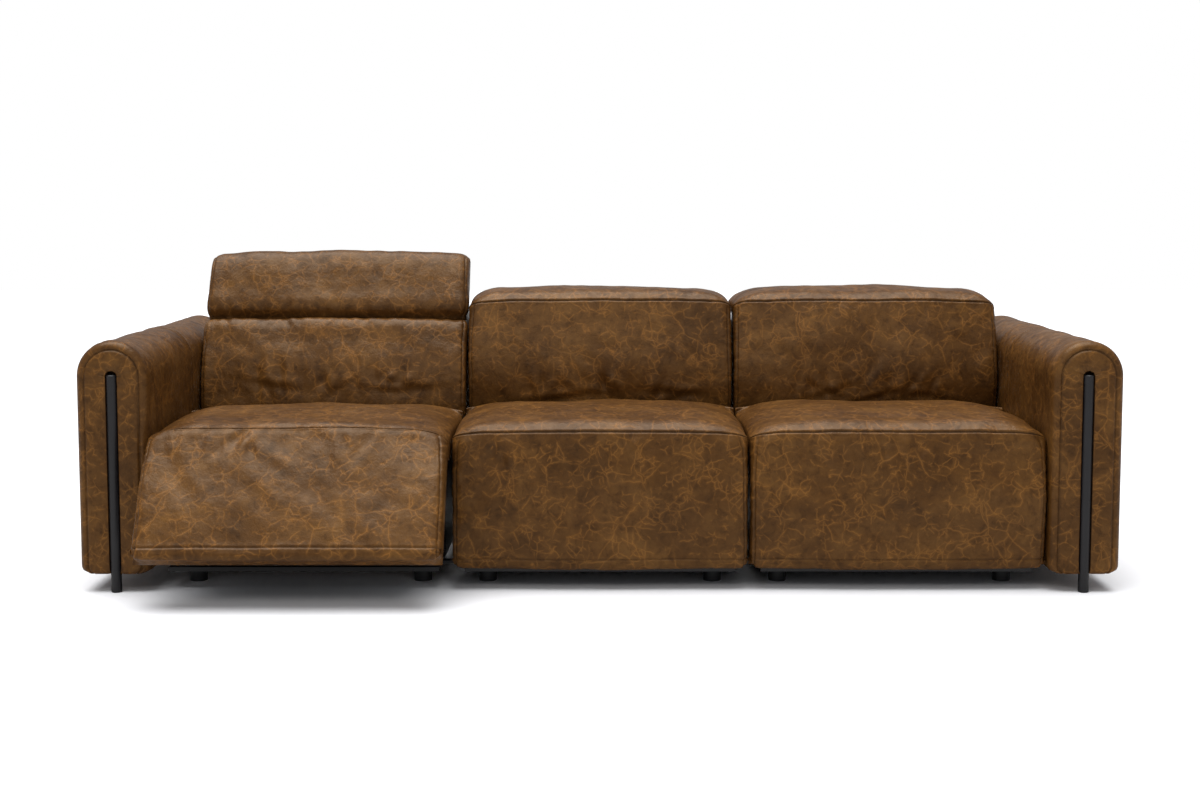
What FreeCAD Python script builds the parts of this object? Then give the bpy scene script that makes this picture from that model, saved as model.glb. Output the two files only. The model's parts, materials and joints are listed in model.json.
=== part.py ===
"""Reclining sofa with three seats: power recliners at both ends and a fixed seat between them.

Row frame: origin at the middle of the footprint on the floor, +X to the right in a front view,
-Y to the front, +Z up. Millimetres. Depths are measured backwards from the arms' front plane.
Each seat is made closed and upright about its own centre line, then set in its place. The left
seat is stored as it stands in use: slid forward, back reclined, footrest open, headrest raised.
"""

import FreeCAD, Part

import math
import os
import sys

import Sketcher

Vector = FreeCAD.Vector
Rotation = FreeCAD.Rotation
Placement = FreeCAD.Placement

doc = FreeCAD.newDocument("reclining_sofa")
sheet = doc.addObject("Spreadsheet::Sheet", "sizes")


class Dim:
    """A length, angle or ratio: its number, and the sheet formula that it comes from."""

    def __init__(self, value, text):
        self.value = float(value)
        self.text = text

    def __add__(self, other):
        other = dim(other)
        return Dim(self.value + other.value, f"({self.text} + {other.text})")

    def __sub__(self, other):
        other = dim(other)
        return Dim(self.value - other.value, f"({self.text} - {other.text})")

    def __mul__(self, other):
        other = dim(other)
        return Dim(self.value * other.value, f"({self.text} * {other.text})")

    def __truediv__(self, other):
        other = dim(other)
        return Dim(self.value / other.value, f"({self.text} / {other.text})")

    def __neg__(self):
        return Dim(-self.value, f"(-1 * {self.text})")

    __radd__ = __add__
    __rmul__ = __mul__


def dim(value):
    """Any number as a Dim."""
    return value if isinstance(value, Dim) else Dim(value, f"({float(value)!r})")


def root(square):
    """Square root."""
    return Dim(math.sqrt(square.value), f"sqrt({square.text})")


def cosine(angle):
    """Cosine of an angle in degrees."""
    return Dim(math.cos(math.radians(angle.value)), f"cos({angle.text})")


def sine(angle):
    """Sine of an angle in degrees."""
    return Dim(math.sin(math.radians(angle.value)), f"sin({angle.text})")


def bow(chord, rise):
    """Radius of an arc that rises so far over its chord."""
    return (chord * chord / 4 + rise * rise) / (rise * 2)


def beside(radius, across):
    """How far a circle reaches along one axis where it stands off its centre by across."""
    return root(radius * radius - across * across)


class Sizes:
    """The driving dimensions, one attribute each."""


s = Sizes()
DRIVING = [
    # arms
    ("arm_width", 182, "arm, outside to inside"),
    ("arm_height", 646, "top of the arm above the floor"),
    ("arm_depth", 975, "arm, front to back"),
    ("arm_lift", 53, "underside of the arm above the floor"),
    ("arm_edge", 20, "rounding where the arm's sides meet its ends"),
    ("arm_padding", 32, "foam and leather outside the arm's frame"),
    ("arm_rise", 40, "top of the arm's frame over the start of its round top"),
    ("arm_board", 12, "thickness of the arm frame's boards"),
    ("arm_post", 40, "depth of the arm frame's end timbers"),
    ("rod_width", 27, "diameter of the black rod on an arm's front"),
    ("rod_rise", 5, "top of the rod over the start of the arm's round top"),
    ("rod_set", 8.5, "rod's axis behind the arm's front"),
    ("rod_slack", 3.5, "leather's clearance round the rod"),
    ("rod_bevel", 2, "bevel at the rod's ends"),
    ("bolt_width", 8, "shank of the bolts that hold a rod"),
    ("bolt_low", 130, "lower rod bolt above the floor"),
    ("bolt_drop", 55, "upper rod bolt below the start of the arm's round top"),
    ("bolt_slack", 0.5, "clearance round a rod bolt in the padding"),
    # seats
    ("seat_pitch", 766, "from one seat's centre line to the next"),
    ("seat_gap", 8, "gap between the cushions of two seats"),
    ("front_y", -387, "the arms' front plane, from the origin"),
    ("seat_top", 449, "crown of the seat cushion"),
    ("seat_crown", 11, "crown's height over the cushion's front and back edges"),
    ("seat_dome", 9, "crown's height over the cushion's sides"),
    ("seat_rear", 538, "back of the seat cushion"),
    ("seat_shoulder", 66, "rounding of the seat's side edges"),
    ("seat_lip", 60, "angle round the footrest hinge where the seat cushion starts"),
    ("side_draw", 4, "how far a cushion's sides are drawn in"),
    ("edge_round", 6, "rounding of a cushion's hidden corners"),
    ("slack", 0.5, "clearance between soft parts that move"),
    # footrest
    ("axle_depth", 70, "footrest hinge behind the arms' front plane"),
    ("axle_height", 380, "footrest hinge above the floor"),
    ("foot_roll", 58, "radius of the footrest's top round its hinge"),
    ("foot_wrap", 50, "angle round the hinge where the footrest's roll ends"),
    ("panel_bulge", 8, "swell of the footrest's front face"),
    ("panel_low", 58, "underside of the closed footrest"),
    ("panel_thick", 60, "footrest's padding"),
    ("panel_corner", 38, "rounding of the footrest's edges"),
    ("board_thick", 14, "footrest's board"),
    ("board_half", 346, "half the footrest board's width"),
    ("board_low", 70, "lower edge of the footrest's board"),
    ("board_top", 345, "upper edge of the footrest's board"),
    ("notch_slack", 3, "room round a hinge in the footrest's padding"),
    ("notch_drop", 56, "cut for a hinge in the padding, below the hinge"),
    ("axle_neck", 40, "steel round the footrest hinge, behind and below it"),
    ("link_back", 42, "link pivot on the footrest, behind the hinge"),
    ("link_drop", 120, "link pivot on the footrest, below the hinge"),
    ("drive_back", 99, "drive tube behind the footrest hinge"),
    ("drive_drop", 99, "drive tube below the footrest hinge"),
    ("drive_tube", 28, "diameter of the drive tube"),
    ("pivot", 10, "diameter of the pivot pins"),
    ("pivot_slack", 0.08, "running clearance round a pivot pin"),
    ("open_slack", 0.6, "clearance at the pivot where the linkage is opened"),
    ("plate", 4, "thickness of the steel side plates, cranks and links"),
    ("plate_gap", 2, "gap between two plates side by side"),
    ("lug", 13, "radius of the steel round a pivot pin"),
    ("plate_out", 356, "outside of the seat's side plates"),
    ("lever_place", 86, "drive lever beside the seat's centre line"),
    ("lever_thick", 6, "thickness of the drive lever"),
    ("hub", 22, "radius of the steel round the drive tube"),
    ("lever_reach", 36, "rod's line of push below the drive tube"),
    ("lever_slot", 14.4, "width of the slot in the drive lever"),
    ("lever_rim", 6, "steel round the lever's slot"),
    ("pin_end", 1, "pivot pins past the plates that they carry"),
    ("lever_gain", 1.185, "rod's travel for a turn of the lever, over its reach"),
    # seat carriage
    ("rail", 25, "square section of the base rails"),
    ("rail_out", 350, "outside of the base side rails"),
    ("rail_front", 90, "front of the base side rails"),
    ("nose_front", 45, "front bar of the base behind the arms' front plane"),
    ("nose_height", 11, "height of the base's front bar"),
    ("foot_width", 46, "diameter of a foot"),
    ("foot_height", 45, "height of a foot"),
    ("foot_place", 297, "feet beside the seat's centre line"),
    ("foot_front", 150, "front feet behind the arms' front plane"),
    ("cross_step", 233, "from one base cross rail to the next"),
    ("joiner", 8, "thickness of the bars that join the seats and arms"),
    ("shoe", 80, "length of a slide shoe"),
    ("shoe_height", 24, "height of a slide shoe"),
    ("shoe_front", 245, "front shoe behind the arms' front plane"),
    ("shoe_rear", 745, "rear shoe behind the arms' front plane"),
    ("rub", 0.3, "running clearance of the shoes"),
    ("tube", 24, "diameter of the carriage's cross tubes"),
    ("tube_drop", 49, "cross tubes under the seat below the footrest hinge"),
    ("tube_front", 150, "front cross tube behind the arms' front plane"),
    ("tube_middle", 345, "middle cross tube behind the arms' front plane"),
    ("tube_rear", 522, "rear cross tube under the seat"),
    ("tail_depth", 765, "low cross tube behind the arms' front plane"),
    ("tail_height", 150, "low cross tube above the floor"),
    ("spring_wire", 4, "diameter of the seat springs' wire"),
    ("spring_wide", 50, "width of a seat spring"),
    ("spring_step", 140, "from one seat spring to the next"),
    ("motor_wide", 64, "width of a motor's housing"),
    ("motor_tall", 52, "height of a motor's housing"),
    ("motor_wall", 10, "end wall of a motor's housing behind its rod"),
    ("lift_start", 290, "front of the footrest motor"),
    ("lift_long", 200, "length of the footrest motor"),
    ("lift_place", 74, "footrest motor beside the seat's centre line"),
    ("hanger", 8, "thickness of the steel that holds the motors"),
    ("push_rod", 18, "diameter of a motor's push rod"),
    ("push_slack", 0.4, "clearance round a push rod"),
    ("slide_start", 371, "front of the slide motor"),
    ("slide_place", -90, "slide motor beside the seat's centre line"),
    ("slide_travel", 140, "forward travel of the seat"),
    ("slide_rest", 70, "left seat's slide as stored"),
    ("foot_travel", 90, "footrest's travel from closed to level"),
    ("foot_rest", 33, "left footrest's angle as stored"),
    # back
    ("hinge_depth", 680, "back hinge behind the arms' front plane"),
    ("hinge_height", 310, "back hinge above the floor"),
    ("recline_travel", 32, "recline over the whole slide"),
    ("cam_ahead", 110, "guide pin ahead of the back hinge"),
    ("cam_drop", 90, "guide pin below the back hinge"),
    ("cam_rim", 18, "guide plate's edge from its slot's ends"),
    ("cam_slack", 1, "clearance round the guide pin in its slot"),
    ("back_low", 345, "underside of the back cushion"),
    ("back_foot", 546, "face of the back cushion at its underside"),
    ("back_head", 603, "face of the back cushion at its top"),
    ("back_bulge", 12, "swell of the back cushion's face"),
    ("back_lip", 648, "top of the back cushion's face"),
    ("back_rear", 688, "back of the back cushion"),
    ("beam_deep", 40, "depth of the back frame's beams"),
    ("beam_tall", 25, "height of the back frame's beams"),
    ("beam_low", 350, "underside of the lower beam"),
    ("beam_high", 587, "underside of the upper beam"),
    ("beam_place", 250, "back frame's posts beside the centre line"),
    ("shell_rear", 950, "outside of the back shell"),
    ("shell_low", 215, "lower edge of the back shell"),
    ("shell_knee", 330, "height where the shell starts to slope"),
    ("shell_crest", 868, "back of the shell's top"),
    ("shell_top", 640, "top of the back shell"),
    ("shell_front", 695, "front edge of the shell's sides"),
    ("shell_wall", 26, "back shell's rear wall"),
    ("shell_side", 11, "back shell's side walls"),
    ("shell_skirt", 150, "width of the shell's sides at their lower edge"),
    ("shell_lid", 6, "back shell's top wall"),
    ("lid_front", 745, "front edge of the shell's top wall"),
    ("kick_front", 958, "front of the lower rear panel"),
    ("kick_thick", 25, "thickness of the lower rear panel"),
    ("kick_low", 60, "lower edge of the lower rear panel"),
    ("kick_top", 238, "upper edge of the lower rear panel"),
    # headrest
    ("tilt_depth", 665, "headrest hinge behind the arms' front plane"),
    ("tilt_height", 675, "headrest hinge above the floor"),
    ("tilt_travel", 80, "headrest's travel from folded to raised"),
    ("head_roll", 60, "radius of the headrest round its hinge"),
    ("head_wrap", 213, "angle round the hinge where the headrest's roll ends"),
    ("head_reach", 190, "headrest behind its hinge when folded"),
    ("head_crown", 14, "swell of the headrest's face"),
    ("head_shoulder", 46, "rounding of the headrest's side edges"),
    ("head_corner", 44, "rounding of the headrest's corners"),
    ("head_tail", 30, "rounding of the headrest's end"),
    ("head_low", 3, "headrest padding's underside below the hinge"),
    ("recess_ahead", 25, "room for the hinge in the padding, ahead of it"),
    ("recess_behind", 27, "room for the hinge in the padding, behind it"),
    ("recess_above", 21, "room for the hinge in the padding, above it"),
    ("head_board", 14, "thickness of the headrest's board"),
    ("head_inset", 35, "headrest's board ahead of its end"),
    ("ear_place", 300, "headrest hinges beside the seat's centre line"),
    ("ear_back", 57, "foot of a fixed ear behind the headrest hinge"),
    ("ear_drop", 75, "foot of a fixed ear below the headrest hinge"),
    # controls
    ("key_depth", 250, "control behind the arms' front plane"),
    ("key_height", 470, "control above the floor"),
    ("key_long", 44, "rocker's length"),
    ("key_tall", 20, "rocker's height"),
    ("key_slack", 1, "gap round the rocker"),
    ("key_ear", 8, "width of the ears that carry the rocker"),
    ("key_pin", 3, "diameter of the rocker's axle"),
    ("key_travel", 7, "rocker's tilt each way"),
    ("bezel_rim", 12, "control plate's rim round the rocker"),
    ("bezel_thick", 5, "control plate's thickness"),
    ("key_pocket", 18, "depth of the control's pocket in the padding"),
    ("inlet_wide", 14, "power inlet's width and height"),
    ("inlet_deep", 20, "power inlet's depth"),
    ("inlet_bore", 6, "power inlet's bore"),
]
for row, (alias, value, note) in enumerate(DRIVING, start=1):
    sheet.set(f"A{row}", note)
    sheet.set(f"B{row}", str(value))
    sheet.setAlias(f"B{row}", alias)
    setattr(s, alias, Dim(value, f"sizes.{alias}"))
doc.recompute()

ACROSS = Rotation(Vector(1, 1, 1), 120)  # outline x, y and normal along Y, Z and X
AHEAD = Rotation(Vector(1, 0, 0), 90)  # outline x, y and normal along X, Z and -Y
LEVEL = Rotation()  # outline x, y and normal along X, Y and Z
HALF = s.seat_pitch / 2 - s.seat_gap / 2
SEATS = 3
CROSS_RAILS = 4
SPRINGS = 5
SPRING_BENDS = 8
GUIDE_STEPS = 4
RADIANS = math.pi / 180
SIDES = (("left", -1), ("right", 1))
nodes = {}


def back(depth):
    """Y of a place that lies some depth behind the arms' front plane."""
    return s.front_y + depth


def bind(thing, **formulas):
    """Ties properties of an object to the sheet; x, y and z are its place."""
    for name, formula in formulas.items():
        prop = f"Placement.Base.{name}" if name in "xyz" else name
        thing.setExpression(prop, dim(formula).text)
    return thing


def block(name, x, y, z, length, depth, height):
    """A box from its lowest corner."""
    thing = doc.addObject("Part::Box", name)
    return bind(thing, x=x, y=y, z=z, Length=length, Width=depth, Height=height)


def bar(name, x, y, z, radius, length, axis="x"):
    """A round bar from the centre of its end, along +X, +Y or +Z."""
    turns = {
        "x": Rotation(Vector(0, 1, 0), 90),
        "y": Rotation(Vector(1, 0, 0), -90),
        "z": Rotation(),
    }
    thing = doc.addObject("Part::Cylinder", name)
    thing.Placement = Placement(Vector(), turns[axis])
    return bind(thing, x=x, y=y, z=z, Radius=radius, Height=length)


def cut(name, base, *tools):
    """base with the tools taken away."""
    thing = doc.addObject("Part::Cut", name)
    thing.Base = base
    thing.Tool = tools[0] if len(tools) == 1 else join(f"{name}_tools", *tools)
    return thing


def join(name, *pieces):
    """Pieces welded into one."""
    thing = doc.addObject("Part::MultiFuse", name)
    thing.Shapes = list(pieces)
    return thing


def overlap(name, *pieces):
    """What all the pieces share."""
    thing = doc.addObject("Part::MultiCommon", name)
    thing.Shapes = list(pieces)
    return thing


def group(name, *pieces):
    """Separate solids that go under one name."""
    thing = doc.addObject("Part::Compound", name)
    thing.Links = list(pieces)
    return thing


def constrain(sketch, kind, places, size):
    """Adds a sketch dimension that follows the sheet."""
    number = sketch.addConstraint(Sketcher.Constraint(kind, *places, size.value))
    sketch.setExpression(f"Constraints[{number}]", size.text)


def draw(sketch, outline):
    """Draws a closed outline, its corners and radii tied to the sheet.

    A corner is (x, y), or (x, y, radius) where an arc runs on to the next corner. The outline
    runs anticlockwise: the arc swells outwards, or inwards where minus one follows the radius.
    """
    corners = [Vector(dim(c[0]).value, dim(c[1]).value, 0) for c in outline]
    starts = []
    for here, corner in enumerate(outline):
        a, b = corners[here], corners[(here + 1) % len(corners)]
        swell = corner[3] if len(corner) == 4 else 1
        if len(corner) == 2:
            sketch.addGeometry(Part.LineSegment(a, b), False)
        else:
            sketch.addGeometry(short_arc(a, b, corner[2].value, swell), False)
        starts.append(1 if swell == 1 else 2)
    for here, start in enumerate(starts):
        before = (here - 1) % len(starts)
        ends = (before, 3 - starts[before], here, start)
        sketch.addConstraint(Sketcher.Constraint("Coincident", *ends))
    for here, corner in enumerate(outline):
        constrain(sketch, "DistanceX", (here, starts[here]), dim(corner[0]))
        constrain(sketch, "DistanceY", (here, starts[here]), dim(corner[1]))
        if len(corner) > 2:
            constrain(sketch, "Radius", (here,), corner[2])


def short_arc(a, b, radius, swell):
    """Arc from a to b that swells to the right of its run, or to the left where swell is -1."""
    chord = b - a
    outward = Vector(chord.y, -chord.x, 0).normalize() * swell
    centre = (a + b) * 0.5 - outward * math.sqrt(max(radius**2 - chord.Length**2 / 4, 0))
    first, last = (a, b) if swell == 1 else (b, a)
    angles = [math.atan2(p.y - centre.y, p.x - centre.x) for p in (first, last)]
    return Part.ArcOfCircle(Part.Circle(centre, Vector(0, 0, 1), radius), *angles)


def prism(name, turn, start, length, outline):
    """An outline pushed along its normal from start."""
    sketch = doc.addObject("Sketcher::SketchObject", f"{name}_outline")
    sketch.Placement = Placement(Vector(), turn)
    bind(sketch, **{normal_axis(turn): start})
    draw(sketch, outline)
    thing = doc.addObject("Part::Extrusion", name)
    thing.Base = sketch
    thing.DirMode = "Normal"
    thing.Solid = True
    return bind(thing, LengthFwd=length)


def normal_axis(turn):
    """Name of the axis that an outline's normal lies along."""
    normal = turn.multVec(Vector(0, 0, 1))
    return max("xyz", key=lambda axis: abs(getattr(normal, axis)))


def across(name, outline, half=HALF):
    """A side outline pushed across the whole seat; its places are depths and heights."""
    placed = [(back(dim(c[0])), *c[1:]) for c in outline]
    return prism(name, ACROSS, -half, half * 2, placed)


def side_plate(name, near, outline, thick=s.plate):
    """A steel plate cut to a side outline, with its near face at x."""
    placed = [(back(dim(c[0])), *c[1:]) for c in outline]
    return prism(name, ACROSS, near, thick, placed)


def pin(name, x, place, radius, length):
    """A round bar across the seat at a depth and height."""
    return bar(name, x, back(place[0]), place[1], radius, length)


def strap(name, x, a, b, radius, thick=s.plate):
    """A flat link with round ends about two places, its near face at x."""
    run = Vector(b[0].value - a[0].value, b[1].value - a[1].value, 0)
    length = root((b[0] - a[0]) * (b[0] - a[0]) + (b[1] - a[1]) * (b[1] - a[1]))
    sketch = doc.addObject("Sketcher::SketchObject", f"{name}_outline")
    slope = math.degrees(math.atan2(run.y, run.x))
    turn = ACROSS.multiply(Rotation(Vector(0, 0, 1), slope))
    sketch.Placement = Placement(Vector(), turn)
    bind(sketch, x=x, y=back(a[0]), z=a[1])
    draw(sketch, [
        (0, -radius),
        (length, -radius, radius),
        (length + radius, 0, radius),
        (length, radius),
        (0, radius, radius),
        (-radius, 0, radius),
    ])
    thing = doc.addObject("Part::Extrusion", name)
    thing.Base = sketch
    thing.DirMode = "Normal"
    thing.Solid = True
    return bind(thing, LengthFwd=thick)


def node(name, thing, placement=None):
    """Gives a finished piece its name and its place in the stored pose."""
    thing.Label = name
    if placement is not None:
        thing.Placement = placement
    nodes[name] = thing
    return thing


class Pose:
    """Where a seat's moving frames stand as stored."""

    def __init__(self, column, slide=0.0, footrest=0.0, headrest=0.0):
        recline = slide * s.recline_travel.value / s.slide_travel.value
        self.base = Placement(Vector(column * s.seat_pitch.value, 0, 0), Rotation())
        self.seat = self.base.multiply(Placement(Vector(0, -slide, 0), Rotation()))
        self.footrest = self.turned(self.seat, AXLE, -footrest)
        self.crank = self.turned(self.seat, DRIVE, -footrest)
        self.links = self.turned(self.crank, CRANK_PIN, footrest)
        travel = s.lever_reach.value * s.lever_gain.value * math.radians(footrest)
        self.rod = self.seat.multiply(Placement(Vector(0, -travel, 0), Rotation()))
        self.back = self.turned(self.seat, HINGE, -recline)
        self.headrest = self.turned(self.back, TILT, headrest)

    @staticmethod
    def turned(frame, place, degrees):
        """frame turned about an axis across the seat."""
        centre = Vector(0, back(place[0]).value, place[1].value)
        return frame.multiply(Placement(Vector(), Rotation(Vector(1, 0, 0), degrees), centre))


AXLE = (s.axle_depth, s.axle_height)
LINK_PIN = (s.axle_depth + s.link_back, s.axle_height - s.link_drop)
DRIVE = (s.axle_depth + s.drive_back, s.axle_height - s.drive_drop)
CRANK_PIN = (DRIVE[0] + s.link_back, DRIVE[1] - s.link_drop)
HINGE = (s.hinge_depth, s.hinge_height)
TILT = (s.tilt_depth, s.tilt_height)

# Steel plates lie side by side, from the seat's side plates inwards.
PLATE_IN = s.plate_out - s.plate
BRACKET_OUT = PLATE_IN - s.plate_gap
BRACKET_IN = BRACKET_OUT - s.plate
LINK_OUT = BRACKET_IN - s.plate_gap
LINK_IN = LINK_OUT - s.plate
RAIL_TOP = s.foot_height + s.rail


def near_face(side, inner, thick=s.plate):
    """Lowest x of a plate between inner and inner + thick, on the left or right side."""
    return inner if side > 0 else -inner - thick


TUBE_HEIGHT = s.axle_height - s.tube_drop
DECK = TUBE_HEIGHT + s.tube / 2 + s.spring_wire + s.rub
PANEL_FRONT = s.axle_depth - s.foot_roll
PUSH_HEIGHT = DRIVE[1] - s.lever_reach
ARM_SPRING = s.arm_height - s.arm_width / 2  # where the arm's round top starts
ROD_TOP = ARM_SPRING + s.rod_rise
BOLT_HEIGHTS = (s.bolt_low, ARM_SPRING - s.bolt_drop)


def domed(name, low, low_round, top, shoulder, dome):
    """A front outline with round shoulders and a domed top, pushed through the whole depth."""
    flat = HALF * 2 - shoulder * 2
    outline = [
        (-HALF + low_round, low),
        (HALF - low_round, low, low_round),
        (HALF, low + low_round),
        (HALF, top - shoulder, shoulder),
        (HALF - shoulder, top, bow(flat, dome)),
        (-HALF + shoulder, top, shoulder),
        (-HALF, top - shoulder),
        (-HALF, low + low_round, low_round),
    ]
    return prism(name, AHEAD, back(s.arm_depth), s.arm_depth * 2, outline)


def plan(name, front, rear, front_round, rear_round, bulge=None):
    """A plan outline with drawn-in sides, pushed through the whole height."""
    inward = (bow(rear - front - front_round - rear_round, s.side_draw), -1)
    swell = () if bulge is None else (bow(HALF * 2 - front_round * 2, bulge),)
    outline = [
        (-HALF + front_round, back(front), *swell),
        (HALF - front_round, back(front), front_round),
        (HALF, back(front + front_round), *inward),
        (HALF, back(rear - rear_round), rear_round),
        (HALF - rear_round, back(rear)),
        (-HALF + rear_round, back(rear), rear_round),
        (-HALF, back(rear - rear_round), *inward),
        (-HALF, back(front + front_round), front_round),
    ]
    return prism(name, LEVEL, 0, s.arm_height * 2, outline)


def seat_cushion(prefix, pose):
    """Seat cushion: crowned both ways, its front edge over the footrest's round top."""
    name = f"{prefix}_seat_cushion"
    socket = s.foot_roll + s.slack
    edge_top = s.seat_top - s.seat_crown
    lip = s.axle_depth + socket * cosine(s.seat_lip)
    side = across(f"{name}_side", [
        (s.axle_depth + beside(socket, s.axle_height - DECK), DECK),
        (s.seat_rear, DECK),
        (s.seat_rear, edge_top, bow(s.seat_rear - lip, s.seat_crown)),
        (lip, edge_top),
        (lip, s.axle_height + socket * sine(s.seat_lip), socket, -1),
    ])
    front = domed(f"{name}_front", DECK - s.seat_shoulder, s.edge_round, s.seat_top - s.seat_dome,
                  s.seat_shoulder, s.seat_dome)
    top = plan(f"{name}_plan", s.axle_depth, s.seat_rear, s.edge_round, s.edge_round)
    node(name, overlap(name, side, front, top), pose.seat)


def front_pad(name, placement, notched):
    """Padding of the footrest: a round top about its hinge, a swelling face, round edges."""
    rear = PANEL_FRONT + s.panel_thick
    wrap = (s.axle_depth + s.foot_roll * cosine(s.foot_wrap),
            s.axle_height + s.foot_roll * sine(s.foot_wrap))
    face = s.axle_height - s.panel_low - s.panel_corner
    side = across(f"{name}_side", [
        (PANEL_FRONT + s.panel_corner, s.panel_low),
        (rear, s.panel_low),
        (rear, s.axle_height + s.lug),
        (*wrap, s.foot_roll),
        (PANEL_FRONT, s.axle_height, bow(face, s.panel_bulge)),
        (PANEL_FRONT, s.panel_low + s.panel_corner, s.panel_corner),
    ])
    front = domed(f"{name}_front", s.panel_low, s.panel_corner, s.seat_top - s.seat_dome,
                  s.seat_shoulder, s.seat_dome)
    top = plan(f"{name}_plan", PANEL_FRONT, wrap[0] + s.edge_round, s.panel_corner, s.edge_round,
               s.panel_bulge)
    pad = overlap(f"{name}_whole" if notched else name, side, front, top)
    if notched:
        notches = []
        for side_name, sign in SIDES:
            wide = s.plate_out - BRACKET_IN + s.notch_slack * 2
            inner = BRACKET_IN - s.notch_slack
            ahead = AXLE[0] - s.lug - s.notch_slack
            notches.append(block(
                f"{name}_notch_{side_name}", near_face(sign, inner, wide), back(ahead),
                AXLE[1] - s.notch_drop, wide, s.foot_roll * 2, s.foot_roll * 2 + s.notch_drop))
        pad = cut(name, pad, *notches)
    node(name, pad, placement)


def base_frame(prefix, pose, extra=()):
    """Welded frame under a seat: side rails, four cross rails and a low front bar."""
    name = f"{prefix}_base_frame"
    inner = s.rail_out - s.rail
    pieces = list(extra)
    for side_name, sign in SIDES:
        x = near_face(sign, inner, s.rail)
        pieces.append(block(f"{name}_rail_{side_name}", x, back(s.rail_front), s.foot_height,
                            s.rail, s.kick_front - s.rail_front, s.rail))
        pieces.append(block(f"{name}_nose_{side_name}", x, back(s.nose_front), s.foot_height,
                            s.rail, s.rail_front - s.nose_front, s.nose_height))
    pieces.append(block(f"{name}_bar", -inner, back(s.nose_front), s.foot_height,
                        inner * 2, s.nose_height * 2, s.nose_height))
    for count in range(CROSS_RAILS):
        depth = s.foot_front + s.cross_step * count - s.rail / 2
        pieces.append(block(f"{name}_cross_{count}", -inner, back(depth), s.foot_height,
                            inner * 2, s.rail, s.rail))
    node(name, join(name, *pieces), pose.base)


def guide_path():
    """Places of the back's guide pin in the base as the seat slides and the back reclines."""
    path = []
    for step in range(GUIDE_STEPS + 1):
        share = step / GUIDE_STEPS
        angle = s.recline_travel * share
        depth = HINGE[0] - s.slide_travel * share
        path.append((
            depth - s.cam_ahead * cosine(angle) - s.cam_drop * sine(angle),
            HINGE[1] + s.cam_ahead * sine(angle) - s.cam_drop * cosine(angle),
        ))
    return path


def guide_plates(prefix):
    """Plates on the base rails with the slots that tilt the back as the seat slides."""
    path = guide_path()
    first, last = path[0], path[-1]
    plates = []
    for side_name, sign in SIDES:
        name = f"{prefix}_guide_{side_name}"
        x = near_face(sign, LINK_IN)
        blank = side_plate(f"{name}_blank", x, [
            (last[0] - s.cam_rim, RAIL_TOP),
            (first[0] + s.cam_rim, RAIL_TOP),
            (first[0] + s.cam_rim, first[1] + s.cam_rim),
            (last[0] + s.cam_rim, last[1] + s.cam_rim),
            (last[0] - s.cam_rim, last[1] + s.cam_rim),
        ])
        slots = [
            strap(f"{name}_slot_{step}", x - s.plate, a, b, s.pivot / 2 + s.cam_slack, s.plate * 3)
            for step, (a, b) in enumerate(zip(path, path[1:]))
        ]
        plates.append(cut(name, blank, *slots))
    return plates


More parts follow.
